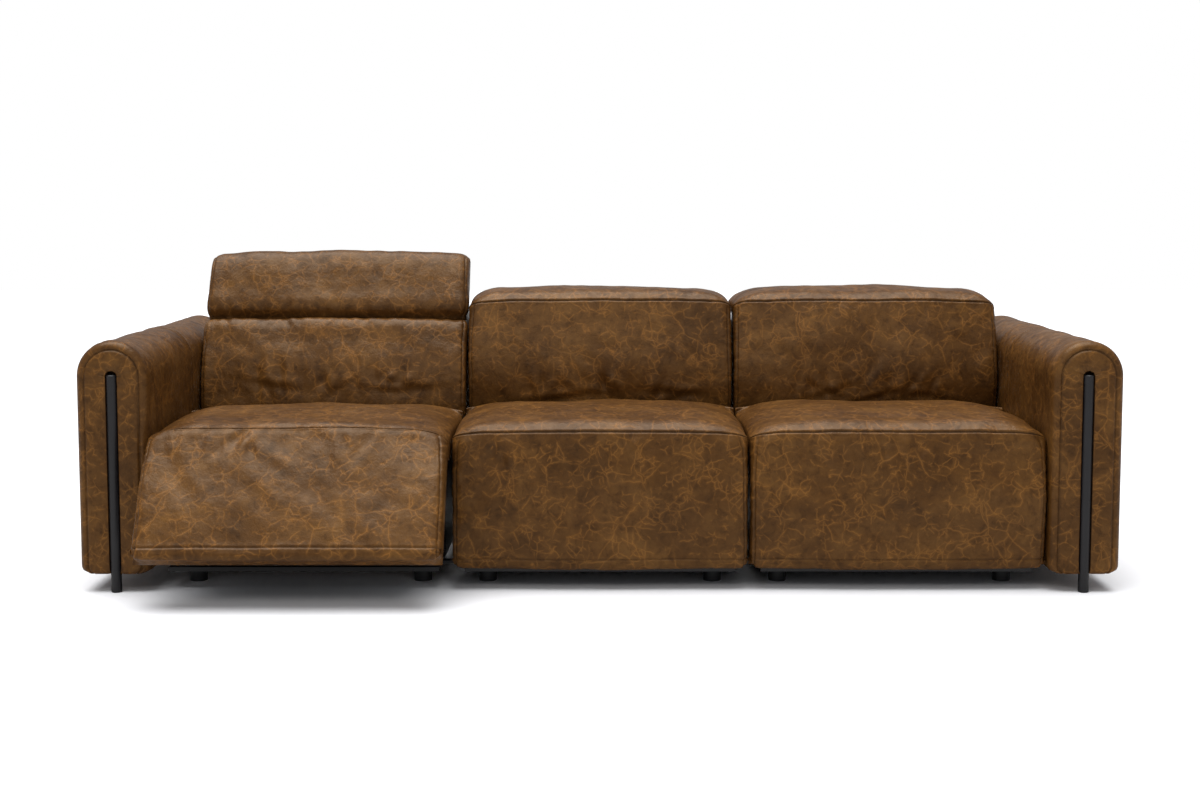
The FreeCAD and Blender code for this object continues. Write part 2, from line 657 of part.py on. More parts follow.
def seat_frame(prefix, pose):
    """Sliding carriage: side plates, cross tubes, slide shoes and the hinge pins."""
    name = f"{prefix}_seat_frame"
    top = DECK - s.plate_gap
    low = RAIL_TOP + s.shoe_height / 4
    pieces = []
    for side_name, sign in SIDES:
        x = near_face(sign, PLATE_IN)
        plate = side_plate(f"{name}_plate_{side_name}", x, [
            (AXLE[0] + s.lug / 2, AXLE[1] - s.axle_neck),
            (DRIVE[0] - s.drive_tube, DRIVE[1] - s.drive_tube),
            (s.shoe_front, low),
            (s.shoe_rear + s.shoe, low),
            (s.shoe_rear + s.shoe, RAIL_TOP + s.shoe_height * 2),
            (HINGE[0] + s.lug, HINGE[1] + s.lug),
            (s.seat_rear + s.hub, HINGE[1] + s.lug),
            (s.seat_rear, top),
            (AXLE[0] + s.axle_neck, top),
            (AXLE[0] + s.axle_neck - s.lug, AXLE[1] - s.plate),
            (AXLE[0] + s.lug / 2, AXLE[1] - s.plate),
        ])
        lugs = [pin(f"{name}_{kind}_{side_name}", x, place, s.lug, s.plate)
                for kind, place in (("axle", AXLE), ("hinge", HINGE))]
        journal = pin(f"{name}_journal_{side_name}", x - s.plate, DRIVE,
                      s.drive_tube / 2 + s.pivot_slack, s.plate * 3)
        pieces.append(cut(f"{name}_side_{side_name}", join(f"{name}_blank_{side_name}", plate, *lugs),
                          journal))
        pin_long = PLATE_IN - BRACKET_IN + s.pin_end
        for kind, place in (("axle", AXLE), ("hinge", HINGE)):
            pieces.append(pin(f"{name}_{kind}_pin_{side_name}",
                              near_face(sign, BRACKET_IN - s.pin_end, pin_long), place,
                              s.pivot / 2, pin_long))
        shoe_in = s.rail_out - s.rail
        shoe_wide = PLATE_IN - shoe_in
        for kind, depth in (("front", s.shoe_front), ("rear", s.shoe_rear)):
            pieces.append(block(f"{name}_shoe_{kind}_{side_name}", near_face(sign, shoe_in, shoe_wide),
                                back(depth), RAIL_TOP + s.rub, shoe_wide, s.shoe, s.shoe_height))
    tubes = ((s.tube_front, TUBE_HEIGHT), (s.tube_middle, TUBE_HEIGHT),
             (s.tube_rear, TUBE_HEIGHT), (s.tail_depth, s.tail_height))
    for count, place in enumerate(tubes):
        pieces.append(pin(f"{name}_tube_{count}", -PLATE_IN, place, s.tube / 2, PLATE_IN * 2))
    hanger_low = PUSH_HEIGHT + s.motor_tall / 2
    pieces.append(block(f"{name}_lift_hanger", s.lift_place - s.hanger / 2,
                        back(s.tube_middle - s.tube), hanger_low,
                        s.hanger, s.tube * 2, TUBE_HEIGHT - hanger_low))
    arm_low = RAIL_TOP + s.motor_tall / 2 - s.push_rod / 2
    pieces.append(block(f"{name}_slide_arm", s.slide_place - s.push_rod, back(s.tube_middle - s.hanger),
                        arm_low, s.push_rod * 2, s.hanger * 2, TUBE_HEIGHT - arm_low))
    node(name, join(name, *pieces), pose.seat)


def seat_springs(prefix, placement):
    """Zigzag springs across the seat, from its front tube to its rear tube."""
    name = f"{prefix}_seat_springs"
    wire = s.spring_wire / 2
    height = TUBE_HEIGHT + s.tube / 2 + wire
    step = (s.tube_rear - s.tube_front) / SPRING_BENDS
    bend = step / 2
    springs = []
    for column in range(SPRINGS):
        middle = s.spring_step * (column - (SPRINGS - 1) / 2)
        pieces = []
        for turn in range(SPRING_BENDS + 1):
            depth = back(s.tube_front + step * turn)
            straight = s.spring_wide - step
            pieces.append(bar(f"{name}_bar_{column}_{turn}", middle - straight / 2, depth, height,
                              wire, straight))
            if turn == SPRING_BENDS:
                continue
            side = 1 if turn % 2 == 0 else -1
            arc = doc.addObject("Part::Torus", f"{name}_bend_{column}_{turn}")
            arc.Angle3 = 180
            arc.Placement = Placement(Vector(), Rotation(Vector(0, 0, 1), -90 * side))
            pieces.append(bind(arc, x=middle + straight / 2 * side, y=depth + bend, z=height,
                               Radius1=bend, Radius2=wire))
        springs.append(join(f"{name}_{column}", *pieces))
    node(name, group(name, *springs), placement)


def footrest_frame(prefix, pose):
    """Board behind the footrest's padding and the steel brackets at its ends."""
    name = f"{prefix}_footrest_frame"
    face = PANEL_FRONT + s.panel_thick
    pieces = [block(f"{name}_board", -s.board_half, back(face), s.board_low,
                    s.board_half * 2, s.board_thick, s.board_top - s.board_low)]
    for side_name, sign in SIDES:
        x = near_face(sign, BRACKET_IN)
        arm = strap(f"{name}_arm_{side_name}", x, AXLE, LINK_PIN, s.lug)
        foot = block(f"{name}_foot_{side_name}", x, back(face), LINK_PIN[1] - s.lug, s.plate,
                     s.board_thick * 2, s.board_top - LINK_PIN[1] + s.lug)
        hole = pin(f"{name}_hole_{side_name}", x - s.plate, AXLE, s.pivot / 2 + s.pivot_slack,
                   s.plate * 3)
        pieces.append(cut(f"{name}_bracket_{side_name}", join(f"{name}_blank_{side_name}", arm, foot),
                          hole))
        pin_long = BRACKET_OUT - LINK_IN + s.pin_end
        pieces.append(pin(f"{name}_pin_{side_name}", near_face(sign, LINK_IN - s.pin_end, pin_long),
                          LINK_PIN, s.pivot / 2, pin_long))
    node(name, join(name, *pieces), pose.footrest)


def drive_tube(prefix, pose):
    """Torque tube with a crank at each end and the slotted lever that the motor pushes."""
    name = f"{prefix}_drive_tube"
    pieces = [pin(f"{name}_tube", -s.plate_out, DRIVE, s.drive_tube / 2, s.plate_out * 2)]
    for side_name, sign in SIDES:
        x = near_face(sign, BRACKET_IN)
        pieces.append(strap(f"{name}_crank_{side_name}", x, DRIVE, CRANK_PIN, s.lug))
        pieces.append(pin(f"{name}_hub_{side_name}", x, DRIVE, s.hub, s.plate))
        pin_long = BRACKET_OUT - LINK_IN + s.pin_end
        pieces.append(pin(f"{name}_pin_{side_name}", near_face(sign, LINK_IN - s.pin_end, pin_long),
                          CRANK_PIN, s.pivot / 2, pin_long))
    half_travel = s.foot_travel / 2
    far = s.lever_reach / cosine(half_travel) + s.slack

    def along(distance):
        """Place on the closed lever's centre line."""
        return (DRIVE[0] + distance * sine(half_travel), DRIVE[1] - distance * cosine(half_travel))

    blank = strap(f"{name}_lever_blank", s.lever_place, DRIVE, along(far),
                  s.lever_slot / 2 + s.lever_rim, s.lever_thick)
    slot = strap(f"{name}_lever_slot", s.lever_place - s.plate, along(s.lever_reach - s.slack),
                 along(far), s.lever_slot / 2, s.lever_thick + s.plate * 2)
    pieces.append(cut(f"{name}_lever", blank, slot))
    pieces.append(pin(f"{name}_boss", s.lever_place, DRIVE, s.hub, s.lever_thick))
    node(name, join(name, *pieces), pose.crank)


def footrest_links(prefix, pose):
    """Links from the cranks to the footrest's brackets."""
    name = f"{prefix}_footrest_links"
    links = []
    for side_name, sign in SIDES:
        x = near_face(sign, LINK_IN)
        blank = strap(f"{name}_blank_{side_name}", x, LINK_PIN, CRANK_PIN, s.lug)
        snug = pin(f"{name}_snug_{side_name}", x - s.plate, CRANK_PIN, s.pivot / 2 + s.pivot_slack,
                   s.plate * 3)
        loose = pin(f"{name}_loose_{side_name}", x - s.plate, LINK_PIN, s.pivot / 2 + s.open_slack,
                    s.plate * 3)
        links.append(cut(f"{name}_{side_name}", blank, snug, loose))
    node(name, group(name, *links), pose.links)


def motor(name, x, start, height, length, placement):
    """Motor housing with a bore from its front for the push rod."""
    case = block(f"{name}_case", x - s.motor_wide / 2, back(start), height - s.motor_tall / 2,
                 s.motor_wide, length, s.motor_tall)
    bore = bar(f"{name}_bore", x, back(start), height, s.push_rod / 2 + s.push_slack,
               length - s.motor_wall, "y")
    node(name, cut(name, case, bore), placement)


def footrest_motor(prefix, pose):
    """Motor under the seat that turns the drive tube, and its push rod with a cross pin."""
    motor(f"{prefix}_footrest_motor", s.lift_place, s.lift_start, PUSH_HEIGHT, s.lift_long, pose.seat)
    name = f"{prefix}_footrest_push_rod"
    travel = s.lever_reach * s.lever_gain * s.foot_travel * RADIANS
    eye = DRIVE[0] + travel / 2
    front = eye - s.push_rod / 2
    tail = s.lift_start + s.lift_long - s.motor_wall * 3
    rod = bar(f"{name}_rod", s.lift_place, back(front), PUSH_HEIGHT, s.push_rod / 2, tail - front, "y")
    cross = pin(f"{name}_cross", s.lift_place, (eye, PUSH_HEIGHT), s.pivot / 2,
                s.lever_place + s.lever_thick + s.pin_end - s.lift_place)
    node(name, join(name, rod, cross), pose.rod)


def slide_motor(prefix, pose):
    """Motor on the base that pushes the seat forward, and its push rod on the seat."""
    height = RAIL_TOP + s.motor_tall / 2
    length = s.cross_step + s.rail
    motor(f"{prefix}_slide_motor", s.slide_place, s.slide_start, height, length, pose.base)
    name = f"{prefix}_slide_push_rod"
    front = s.tube_middle + s.hanger
    tail = s.slide_start + s.slide_travel + s.motor_wall * 5
    rod = bar(f"{name}_rod", s.slide_place, back(front), height, s.push_rod / 2, tail - front, "y")
    node(name, group(name, rod), pose.seat)


def back_frame(prefix, pose, reclining):
    """Welded frame behind a back cushion, with the headrest's fixed ears at its top."""
    name = f"{prefix}_back_frame"
    wide = HALF - s.shell_side
    rear = back(s.back_rear)
    pieces = [
        block(f"{name}_beam_{kind}", -wide, rear, height, wide * 2, s.beam_deep, s.beam_tall)
        for kind, height in (("low", s.beam_low), ("high", s.beam_high))
    ]
    for count in (-1, 0, 1):
        pieces.append(block(f"{name}_post_{count + 1}", s.beam_place * count - s.beam_tall / 2, rear,
                            s.beam_low, s.beam_tall, s.beam_deep, s.beam_high - s.beam_low))
    ear_foot = (TILT[0] + s.ear_back, TILT[1] - s.ear_drop)
    for side_name, sign in SIDES:
        inner = s.ear_place + s.plate + s.plate_gap
        pieces.append(strap(f"{name}_ear_{side_name}", near_face(sign, inner), TILT, ear_foot, s.lug))
        pin_long = inner - s.ear_place + s.pin_end
        pieces.append(pin(f"{name}_ear_pin_{side_name}",
                          near_face(sign, s.ear_place - s.pin_end, pin_long), TILT,
                          s.pivot / 2, pin_long))
        if not reclining:
            pieces.append(block(f"{name}_leg_{side_name}", near_face(sign, s.rail_out - s.rail, s.rail),
                                rear, RAIL_TOP, s.rail, s.beam_deep, s.beam_low - RAIL_TOP))
            continue
        x = near_face(sign, BRACKET_IN)
        foot = (s.back_rear + s.beam_deep - s.plate, s.beam_low + s.beam_tall / 2)
        cam = guide_path()[0]
        blank = join(f"{name}_blank_{side_name}",
                     strap(f"{name}_upper_{side_name}", x, HINGE, foot, s.lug),
                     strap(f"{name}_lower_{side_name}", x, HINGE, cam, s.lug))
        hole = pin(f"{name}_hole_{side_name}", x - s.plate, HINGE, s.pivot / 2 + s.pivot_slack,
                   s.plate * 3)
        pieces.append(cut(f"{name}_bracket_{side_name}", blank, hole))
        cam_long = BRACKET_IN - LINK_IN + s.pin_end
        pieces.append(pin(f"{name}_cam_{side_name}", near_face(sign, LINK_IN - s.pin_end, cam_long),
                          cam, s.pivot / 2, cam_long))
    node(name, join(name, *pieces), pose.back)


def back_cushion(prefix, pose):
    """Back cushion: a swelling face, hollowed at its top for the headrest's roll."""
    name = f"{prefix}_back_cushion"
    socket = s.head_roll + s.slack
    face = root((s.back_head - s.back_foot) * (s.back_head - s.back_foot)
                + (s.back_lip - s.back_low) * (s.back_lip - s.back_low))
    side = across(f"{name}_side", [
        (s.back_foot, s.back_low),
        (s.back_rear, s.back_low),
        (s.back_rear, TILT[1] - beside(socket, s.back_rear - TILT[0]), socket, -1),
        (TILT[0] - beside(socket, TILT[1] - s.back_lip), s.back_lip),
        (s.back_head, s.back_lip, bow(face, s.back_bulge)),
    ])
    top = plan(f"{name}_plan", s.back_foot - s.back_bulge, s.back_rear, s.edge_round, s.edge_round)
    node(name, overlap(name, side, top), pose.back)


def back_shell(prefix, pose):
    """Upholstered shell round the rear of a back: rear wall, sides and a short top."""
    name = f"{prefix}_back_shell"
    outer = across(f"{name}_outer", [
        (s.shell_front, s.beam_low),
        (s.shell_rear - s.shell_skirt, s.shell_low),
        (s.shell_rear, s.shell_low),
        (s.shell_rear, s.shell_knee),
        (s.shell_crest, s.shell_top),
        (s.shell_front, s.shell_top),
    ])
    inner = across(f"{name}_inner", [
        (s.back_foot, 0),
        (s.shell_rear - s.shell_wall, 0),
        (s.shell_rear - s.shell_wall, s.shell_knee),
        (s.shell_crest - s.shell_wall, s.shell_top - s.shell_lid),
        (s.lid_front, s.shell_top - s.shell_lid),
        (s.lid_front, s.arm_height * 2),
        (s.back_foot, s.arm_height * 2),
    ], HALF - s.shell_side)
    node(name, cut(name, outer, inner), pose.back)


def headrest_pad(prefix, pose):
    """Headrest padding: a roll about its hinge, a swelling face and round corners."""
    name = f"{prefix}_headrest_pad"
    low = TILT[1] - s.head_low
    rear = TILT[0] + s.head_reach
    top = TILT[1] + s.head_roll
    ahead = TILT[0] - s.recess_ahead
    behind = TILT[0] + s.recess_behind
    heel = s.head_tail / 2
    side = across(f"{name}_side", [
        (TILT[0] + s.head_roll * cosine(s.head_wrap), TILT[1] + s.head_roll * sine(s.head_wrap)),
        (ahead, TILT[1]),
        (ahead, TILT[1] + s.recess_above),
        (behind, TILT[1] + s.recess_above),
        (behind, low),
        (rear - heel, low, heel),
        (rear, low + heel),
        (rear, top - s.head_tail, s.head_tail),
        (rear - s.head_tail, top, bow(s.head_reach - s.head_tail, s.head_crown)),
        (TILT[0], top, s.head_roll),
    ])
    front = domed(f"{name}_front", low - s.head_roll, s.edge_round, top, s.head_shoulder, s.head_crown)
    above = plan(f"{name}_plan", TILT[0] - s.head_roll, rear, s.edge_round, s.head_corner)
    node(name, overlap(name, side, front, above), pose.headrest)


def headrest_frame(prefix, pose):
    """Board under the headrest's padding and its two hinge ears."""
    name = f"{prefix}_headrest_frame"
    low = TILT[1] - s.head_low
    front = TILT[0] + s.recess_behind + s.slack
    rear = TILT[0] + s.head_reach - s.head_inset
    half = s.ear_place + s.plate
    pieces = [block(f"{name}_board", -half, back(front), low - s.head_board,
                    half * 2, rear - front, s.head_board)]
    for side_name, sign in SIDES:
        x = near_face(sign, s.ear_place)
        blank = join(f"{name}_blank_{side_name}",
                     pin(f"{name}_lug_{side_name}", x, TILT, s.lug, s.plate),
                     block(f"{name}_arm_{side_name}", x, back(TILT[0]), low - s.lug, s.plate,
                           s.recess_behind * 2, s.lug))
        hole = pin(f"{name}_hole_{side_name}", x - s.plate, TILT, s.pivot / 2 + s.pivot_slack,
                   s.plate * 3)
        pieces.append(cut(f"{name}_ear_{side_name}", blank, hole))
    node(name, join(name, *pieces), pose.headrest)


def back_set(prefix, pose, reclining):
    """Everything above a seat: back frame, cushion, shell and headrest."""
    back_frame(prefix, pose, reclining)
    back_cushion(prefix, pose)
    back_shell(prefix, pose)
    headrest_frame(prefix, pose)
    headrest_pad(prefix, pose)


def recliner(prefix, pose):
    """One power recliner seat."""
    base_frame(prefix, pose, guide_plates(prefix))
    slide_motor(prefix, pose)
    seat_frame(prefix, pose)
    seat_springs(prefix, pose.seat)
    seat_cushion(prefix, pose)
    footrest_frame(prefix, pose)
    front_pad(f"{prefix}_footrest_pad", pose.footrest, notched=True)
    drive_tube(prefix, pose)
    footrest_links(prefix, pose)
    footrest_motor(prefix, pose)
    back_set(prefix, pose, reclining=True)


def fixed_seat(prefix, pose):
    """The seat between the recliners: a deck on posts and a fixed front panel."""
    inner = s.rail_out - s.rail
    top = TUBE_HEIGHT + s.tube / 2
    ends = (("front", s.tube_front - s.rail / 2), ("rear", s.tube_rear - s.rail / 2))
    board = PANEL_FRONT + s.panel_thick
    extra = [block(f"{prefix}_board", -s.board_half, back(board), s.board_low,
                   s.board_half * 2, s.board_thick, s.board_top - s.board_low)]
    for side_name, sign in SIDES:
        x = near_face(sign, inner, s.rail)
        for end, depth in ends:
            extra.append(block(f"{prefix}_post_{end}_{side_name}", x, back(depth), RAIL_TOP,
                               s.rail, s.rail, top - RAIL_TOP))
        extra.append(block(f"{prefix}_deck_{side_name}", x, back(board), top - s.rail,
                           s.rail, s.tube_rear + s.rail / 2 - board, s.rail))
    depths = (*ends, ("middle", s.tube_middle - s.rail / 2))
    for end, depth in depths:
        extra.append(block(f"{prefix}_deck_{end}", -inner, back(depth), top - s.rail,
                           inner * 2, s.rail, s.rail))
    base_frame(prefix, pose, extra)
    seat_springs(prefix, pose.base)
    seat_cushion(prefix, pose)
    front_pad(f"{prefix}_front_pad", pose.base, notched=False)
    back_set(prefix, pose, reclining=False)


def outline_edges(shape, axis, places):
    """Numbers of the edges that lie whole in one of the planes axis = place."""
    found = []
    for number, edge in enumerate(shape.Edges, start=1):
        box = edge.BoundBox
        low, high = getattr(box, f"{axis.upper()}Min"), getattr(box, f"{axis.upper()}Max")
        if any(abs(low - place) < 0.01 and abs(high - place) < 0.01 for place in places):
            found.append(number)
    return found


def rounded(name, base, numbers, radius):
    """base with the numbered edges rounded."""
    thing = doc.addObject("Part::Fillet", name)
    thing.Base = base
    thing.Edges = [(number, radius.value, radius.value) for number in numbers]
    return thing


def arm(prefix, sign):
    """Armrest: closed timber frame, padded cover, black rod on its front, control on its side."""
    centre = (s.seat_pitch * SEATS + s.arm_width) / 2 * sign
    place = Placement(Vector(centre.value, 0, 0), Rotation())
    half = s.arm_width / 2
    cover = f"{prefix}_arm_cover"
    solid = prism(f"{cover}_solid", AHEAD, back(s.arm_depth), s.arm_depth, [
        (-half, s.arm_lift),
        (half, s.arm_lift),
        (half, ARM_SPRING, half),
        (0, s.arm_height, half),
        (-half, ARM_SPRING),
    ])
    doc.recompute()
    ends = (back(0).value, back(s.arm_depth).value)
    soft = rounded(f"{cover}_soft", solid, outline_edges(solid.Shape, "y", ends), s.arm_edge)
    hollow_half = half - s.arm_padding
    hollow = block(f"{cover}_hollow", -hollow_half, back(s.arm_padding), 0, hollow_half * 2,
                   s.arm_depth - s.arm_padding * 2, ARM_SPRING + s.arm_rise)
    groove = bar(f"{cover}_groove", 0, back(s.rod_set), 0, s.rod_width / 2 + s.rod_slack,
                 ROD_TOP + s.rod_slack, "z")
    holes = [bar(f"{cover}_hole_{count}", 0, back(0), height, s.bolt_width / 2 + s.bolt_slack,
                 s.arm_padding, "y") for count, height in enumerate(BOLT_HEIGHTS)]
    pocket_deep = s.key_pocket
    x = near_face(sign, half - pocket_deep, pocket_deep)
    half_long = s.key_long / 2 + s.bezel_rim
    half_tall = s.key_tall / 2 + s.bezel_rim
    pocket = block(f"{cover}_pocket", x, back(s.key_depth - half_long), s.key_height - half_tall,
                   pocket_deep, half_long * 2, half_tall * 2)
    node(cover, cut(cover, soft, hollow, groove, *holes, pocket), place)
    arm_frame(prefix, place, hollow_half)
    control(prefix, place, sign, half_long, half_tall)
    arm_rod(prefix, place)


def arm_frame(prefix, place, half):
    """Closed timber box inside an arm."""
    name = f"{prefix}_arm_frame"
    front = s.arm_padding
    deep = s.arm_depth - s.arm_padding * 2
    tall = ARM_SPRING + s.arm_rise - s.arm_lift
    outer = block(f"{name}_outer", -half, back(front), s.arm_lift, half * 2, deep, tall)
    inner = block(f"{name}_inner", -half + s.arm_board, back(front + s.arm_post),
                  s.arm_lift + s.arm_post, (half - s.arm_board) * 2, deep - s.arm_post * 2,
                  tall - s.arm_post * 2)
    holes = [bar(f"{name}_hole_{count}", 0, back(0), height, s.bolt_width / 2 + s.pivot_slack,
                 front + s.arm_post, "y") for count, height in enumerate(BOLT_HEIGHTS)]
    node(name, cut(name, outer, inner, *holes), place)


def arm_rod(prefix, place):
    """Black rod from the floor up the front of an arm, bevelled at both ends."""
    name = f"{prefix}_arm_rod"
    body = doc.addObject("PartDesign::Body", name)
    sketch = body.newObject("Sketcher::SketchObject", f"{name}_section")
    sketch.AttachmentSupport = [(origin_plane(body, "XY_Plane"), "")]
    sketch.MapMode = "FlatFace"
    centre = back(s.rod_set)
    circle = Part.Circle(Vector(0, centre.value, 0), Vector(0, 0, 1), s.rod_width.value / 2)
    sketch.addGeometry(circle, False)
    sketch.addConstraint(Sketcher.Constraint("PointOnObject", 0, 3, -2))
    constrain(sketch, "DistanceY", (0, 3), centre)
    constrain(sketch, "Radius", (0,), s.rod_width / 2)
    pad = body.newObject("PartDesign::Pad", f"{name}_pad")
    pad.Profile = sketch
    bind(pad, Length=ROD_TOP)
    doc.recompute()
    ends = outline_edges(pad.Shape, "z", (0, ROD_TOP.value))
    bevel = body.newObject("PartDesign::Chamfer", f"{name}_bevel")
    bevel.Base = (pad, [f"Edge{number}" for number in ends])
    bind(bevel, Size=s.rod_bevel)
    for count, height in enumerate(BOLT_HEIGHTS):
        hole = body.newObject("PartDesign::SubtractiveCylinder", f"{name}_hole_{count}")
        hole.Placement = Placement(Vector(), Rotation(Vector(1, 0, 0), -90))
        bind(hole, y=centre, z=height, Radius=s.bolt_width / 2 + s.pivot_slack, Height=s.rod_width)
    node(name, body, place)


def origin_plane(body, role):
    """One of a body's own origin planes."""
    return next(f for f in body.Origin.OriginFeatures if f.Role == role)


def control(prefix, place, sign, half_long, half_tall):
    """Control plate let into an arm's outer side, and the rocker that it carries."""
    half = s.arm_width / 2
    face = near_face(sign, half - s.bezel_thick, s.bezel_thick)
    window_long = s.key_long / 2 + s.key_slack
    window_tall = s.key_tall / 2 + s.key_slack
    plate_name = f"{prefix}_control_plate"
    rim = block(f"{plate_name}_rim", face, back(s.key_depth - half_long + s.slack),
                s.key_height - half_tall + s.slack, s.bezel_thick,
                (half_long - s.slack) * 2, (half_tall - s.slack) * 2)
    window = block(f"{plate_name}_window", face - s.bezel_thick, back(s.key_depth - window_long),
                   s.key_height - window_tall, s.bezel_thick * 3, window_long * 2, window_tall * 2)
    proud = s.key_long / 2 * sine(s.key_travel) + s.rub  # a pressed end comes flush
    key_thick = s.bezel_thick + proud * 2
    key_x = near_face(sign, half + proud - key_thick, key_thick)
    axis_x = key_x + key_thick / 2
    ear_deep = s.key_pocket - s.bezel_thick - s.slack
    ear_x = near_face(sign, half - s.bezel_thick - ear_deep, ear_deep)
    ears = [
        block(f"{plate_name}_ear_{count}", ear_x, back(s.key_depth - s.key_ear / 2), low,
              ear_deep, s.key_ear, s.key_ear)
        for count, low in enumerate((s.key_height + window_tall,
                                     s.key_height - window_tall - s.key_ear))
    ]
    bore = bar(f"{plate_name}_bore", axis_x, back(s.key_depth), s.key_height - half_tall,
               s.key_pin / 2 + s.pivot_slack, half_tall * 2, "z")
    blank = join(f"{plate_name}_blank", cut(f"{plate_name}_frame", rim, window), *ears)
    node(plate_name, cut(plate_name, blank, bore), place)
    key_name = f"{prefix}_control_rocker"
    cap = block(f"{key_name}_cap", key_x, back(s.key_depth - s.key_long / 2),
                s.key_height - s.key_tall / 2, key_thick, s.key_long, s.key_tall)
    reach = s.key_tall / 2 + s.key_slack + s.key_ear - s.slack
    axle = bar(f"{key_name}_axle", axis_x, back(s.key_depth), s.key_height - reach,
               s.key_pin / 2, reach * 2, "z")
    node(key_name, join(key_name, cap, axle), place)


def shared_pieces():
    """Feet, bolts, joining bars, rear panels and power inlets of the whole sofa."""
    first = (SEATS - 1) / 2
    last_cross = s.foot_front + s.cross_step * (CROSS_RAILS - 1)
    feet, joiners, panels = [], [], []
    for column in range(SEATS):
        middle = s.seat_pitch * (column - first)
        panels.append(block(f"rear_panel_{column}", middle - HALF, back(s.kick_front), s.kick_low,
                            HALF * 2, s.kick_thick, s.kick_top - s.kick_low))
        for side_name, sign in SIDES:
            for end, depth in (("front", s.foot_front), ("rear", last_cross)):
                feet.append(bar(f"foot_{column}_{end}_{side_name}", middle + s.foot_place * sign,
                                back(depth), 0, s.foot_width / 2, s.foot_height, "z"))
    gap = s.seat_pitch - s.rail_out * 2
    for end, depth in (("front", s.foot_front), ("rear", last_cross)):
        for between in range(SEATS - 1):
            joiners.append(block(f"joiner_{end}_{between}",
                                 s.seat_pitch * (between - first) + s.rail_out,
                                 back(depth - s.rail / 2), s.foot_height, gap, s.rail, s.joiner))
        for side_name, sign in SIDES:
            reach = s.seat_pitch / 2 - s.rail_out + s.arm_width / 2
            inner = s.seat_pitch * first + s.rail_out
            joiners.append(block(f"joiner_{end}_{side_name}", near_face(sign, inner, reach),
                                 back(depth - s.rail / 2), s.foot_height, reach, s.rail, s.joiner))
    centre = (s.seat_pitch * SEATS + s.arm_width) / 2
    bolts = []
    for side_name, sign in SIDES:
        feet.append(bar(f"foot_arm_{side_name}", centre * sign, back(last_cross), 0,
                        s.foot_width / 2, s.foot_height, "z"))
        for count, height in enumerate(BOLT_HEIGHTS):
            inside = s.arm_padding + s.arm_post
            shank = bar(f"bolt_{side_name}_{count}_shank", centre * sign, back(s.rod_set), height,
                        s.bolt_width / 2, inside - s.rod_set, "y")
            head = bar(f"bolt_{side_name}_{count}_head", centre * sign, back(inside), height,
                       s.bolt_width, s.bolt_width, "y")
            bolts.append(join(f"bolt_{side_name}_{count}", shank, head))
    inlets = []
    for side_name, sign in SIDES:
        middle = s.seat_pitch * first * sign
        low = middle + near_face(sign, s.rail_out - s.rail - s.inlet_wide, s.inlet_wide)
        case = block(f"inlet_{side_name}_case", low, back(s.kick_front - s.inlet_deep), s.foot_height,
                     s.inlet_wide, s.inlet_deep, s.inlet_wide)
        bore = bar(f"inlet_{side_name}_bore", low + s.inlet_wide / 2,
                   back(s.kick_front - s.inlet_deep / 2), s.foot_height + s.inlet_wide / 2,
                   s.inlet_bore / 2, s.inlet_deep, "y")
        inlets.append(cut(f"inlet_{side_name}", case, bore))
    for name, pieces in (("feet", feet), ("joining_bars", joiners), ("rear_panels", panels),
                         ("rod_bolts", bolts), ("power_inlets", inlets)):
        node(name, group(name, *pieces))


recliner("left", Pose(-1, s.slide_rest.value, s.foot_rest.value, s.tilt_travel.value))
fixed_seat("middle", Pose(0))
recliner("right", Pose(1))
for arm_name, arm_sign in SIDES:
    arm(arm_name, arm_sign)
shared_pieces()
doc.recompute()

broken = [thing.Name for thing in doc.Objects if "Invalid" in thing.State or "Error" in thing.State]
broken += [name for name, thing in nodes.items() if thing.Shape.isNull() or not thing.Shape.isValid()]
if broken:
    sys.exit(f"failed pieces: {broken}")
os.makedirs("parts", exist_ok=True)
for name, thing in nodes.items():
    thing.Shape.exportStep(f"parts/{name}.step")
print(f"{len(nodes)} pieces written")
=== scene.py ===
"""Looks of the reclining sofa: leather covers, materials, floor, light and camera."""

import json
import math

import bmesh
import bpy
import numpy as np
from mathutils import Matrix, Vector

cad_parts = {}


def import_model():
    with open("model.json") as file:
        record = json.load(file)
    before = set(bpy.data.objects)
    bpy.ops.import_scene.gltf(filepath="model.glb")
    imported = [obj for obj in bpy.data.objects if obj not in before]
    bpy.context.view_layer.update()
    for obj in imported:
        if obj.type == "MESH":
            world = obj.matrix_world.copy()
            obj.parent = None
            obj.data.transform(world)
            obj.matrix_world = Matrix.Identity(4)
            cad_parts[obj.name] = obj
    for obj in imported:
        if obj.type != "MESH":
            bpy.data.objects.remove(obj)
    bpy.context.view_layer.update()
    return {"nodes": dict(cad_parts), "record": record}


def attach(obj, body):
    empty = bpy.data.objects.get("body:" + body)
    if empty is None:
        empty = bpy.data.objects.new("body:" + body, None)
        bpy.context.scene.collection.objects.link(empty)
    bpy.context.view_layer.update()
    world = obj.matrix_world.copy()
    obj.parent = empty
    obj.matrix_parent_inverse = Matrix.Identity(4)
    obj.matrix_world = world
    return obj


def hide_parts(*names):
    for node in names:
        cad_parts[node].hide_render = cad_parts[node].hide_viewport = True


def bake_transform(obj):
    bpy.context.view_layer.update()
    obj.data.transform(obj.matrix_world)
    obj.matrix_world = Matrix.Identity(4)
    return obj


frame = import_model()

MM = 0.001

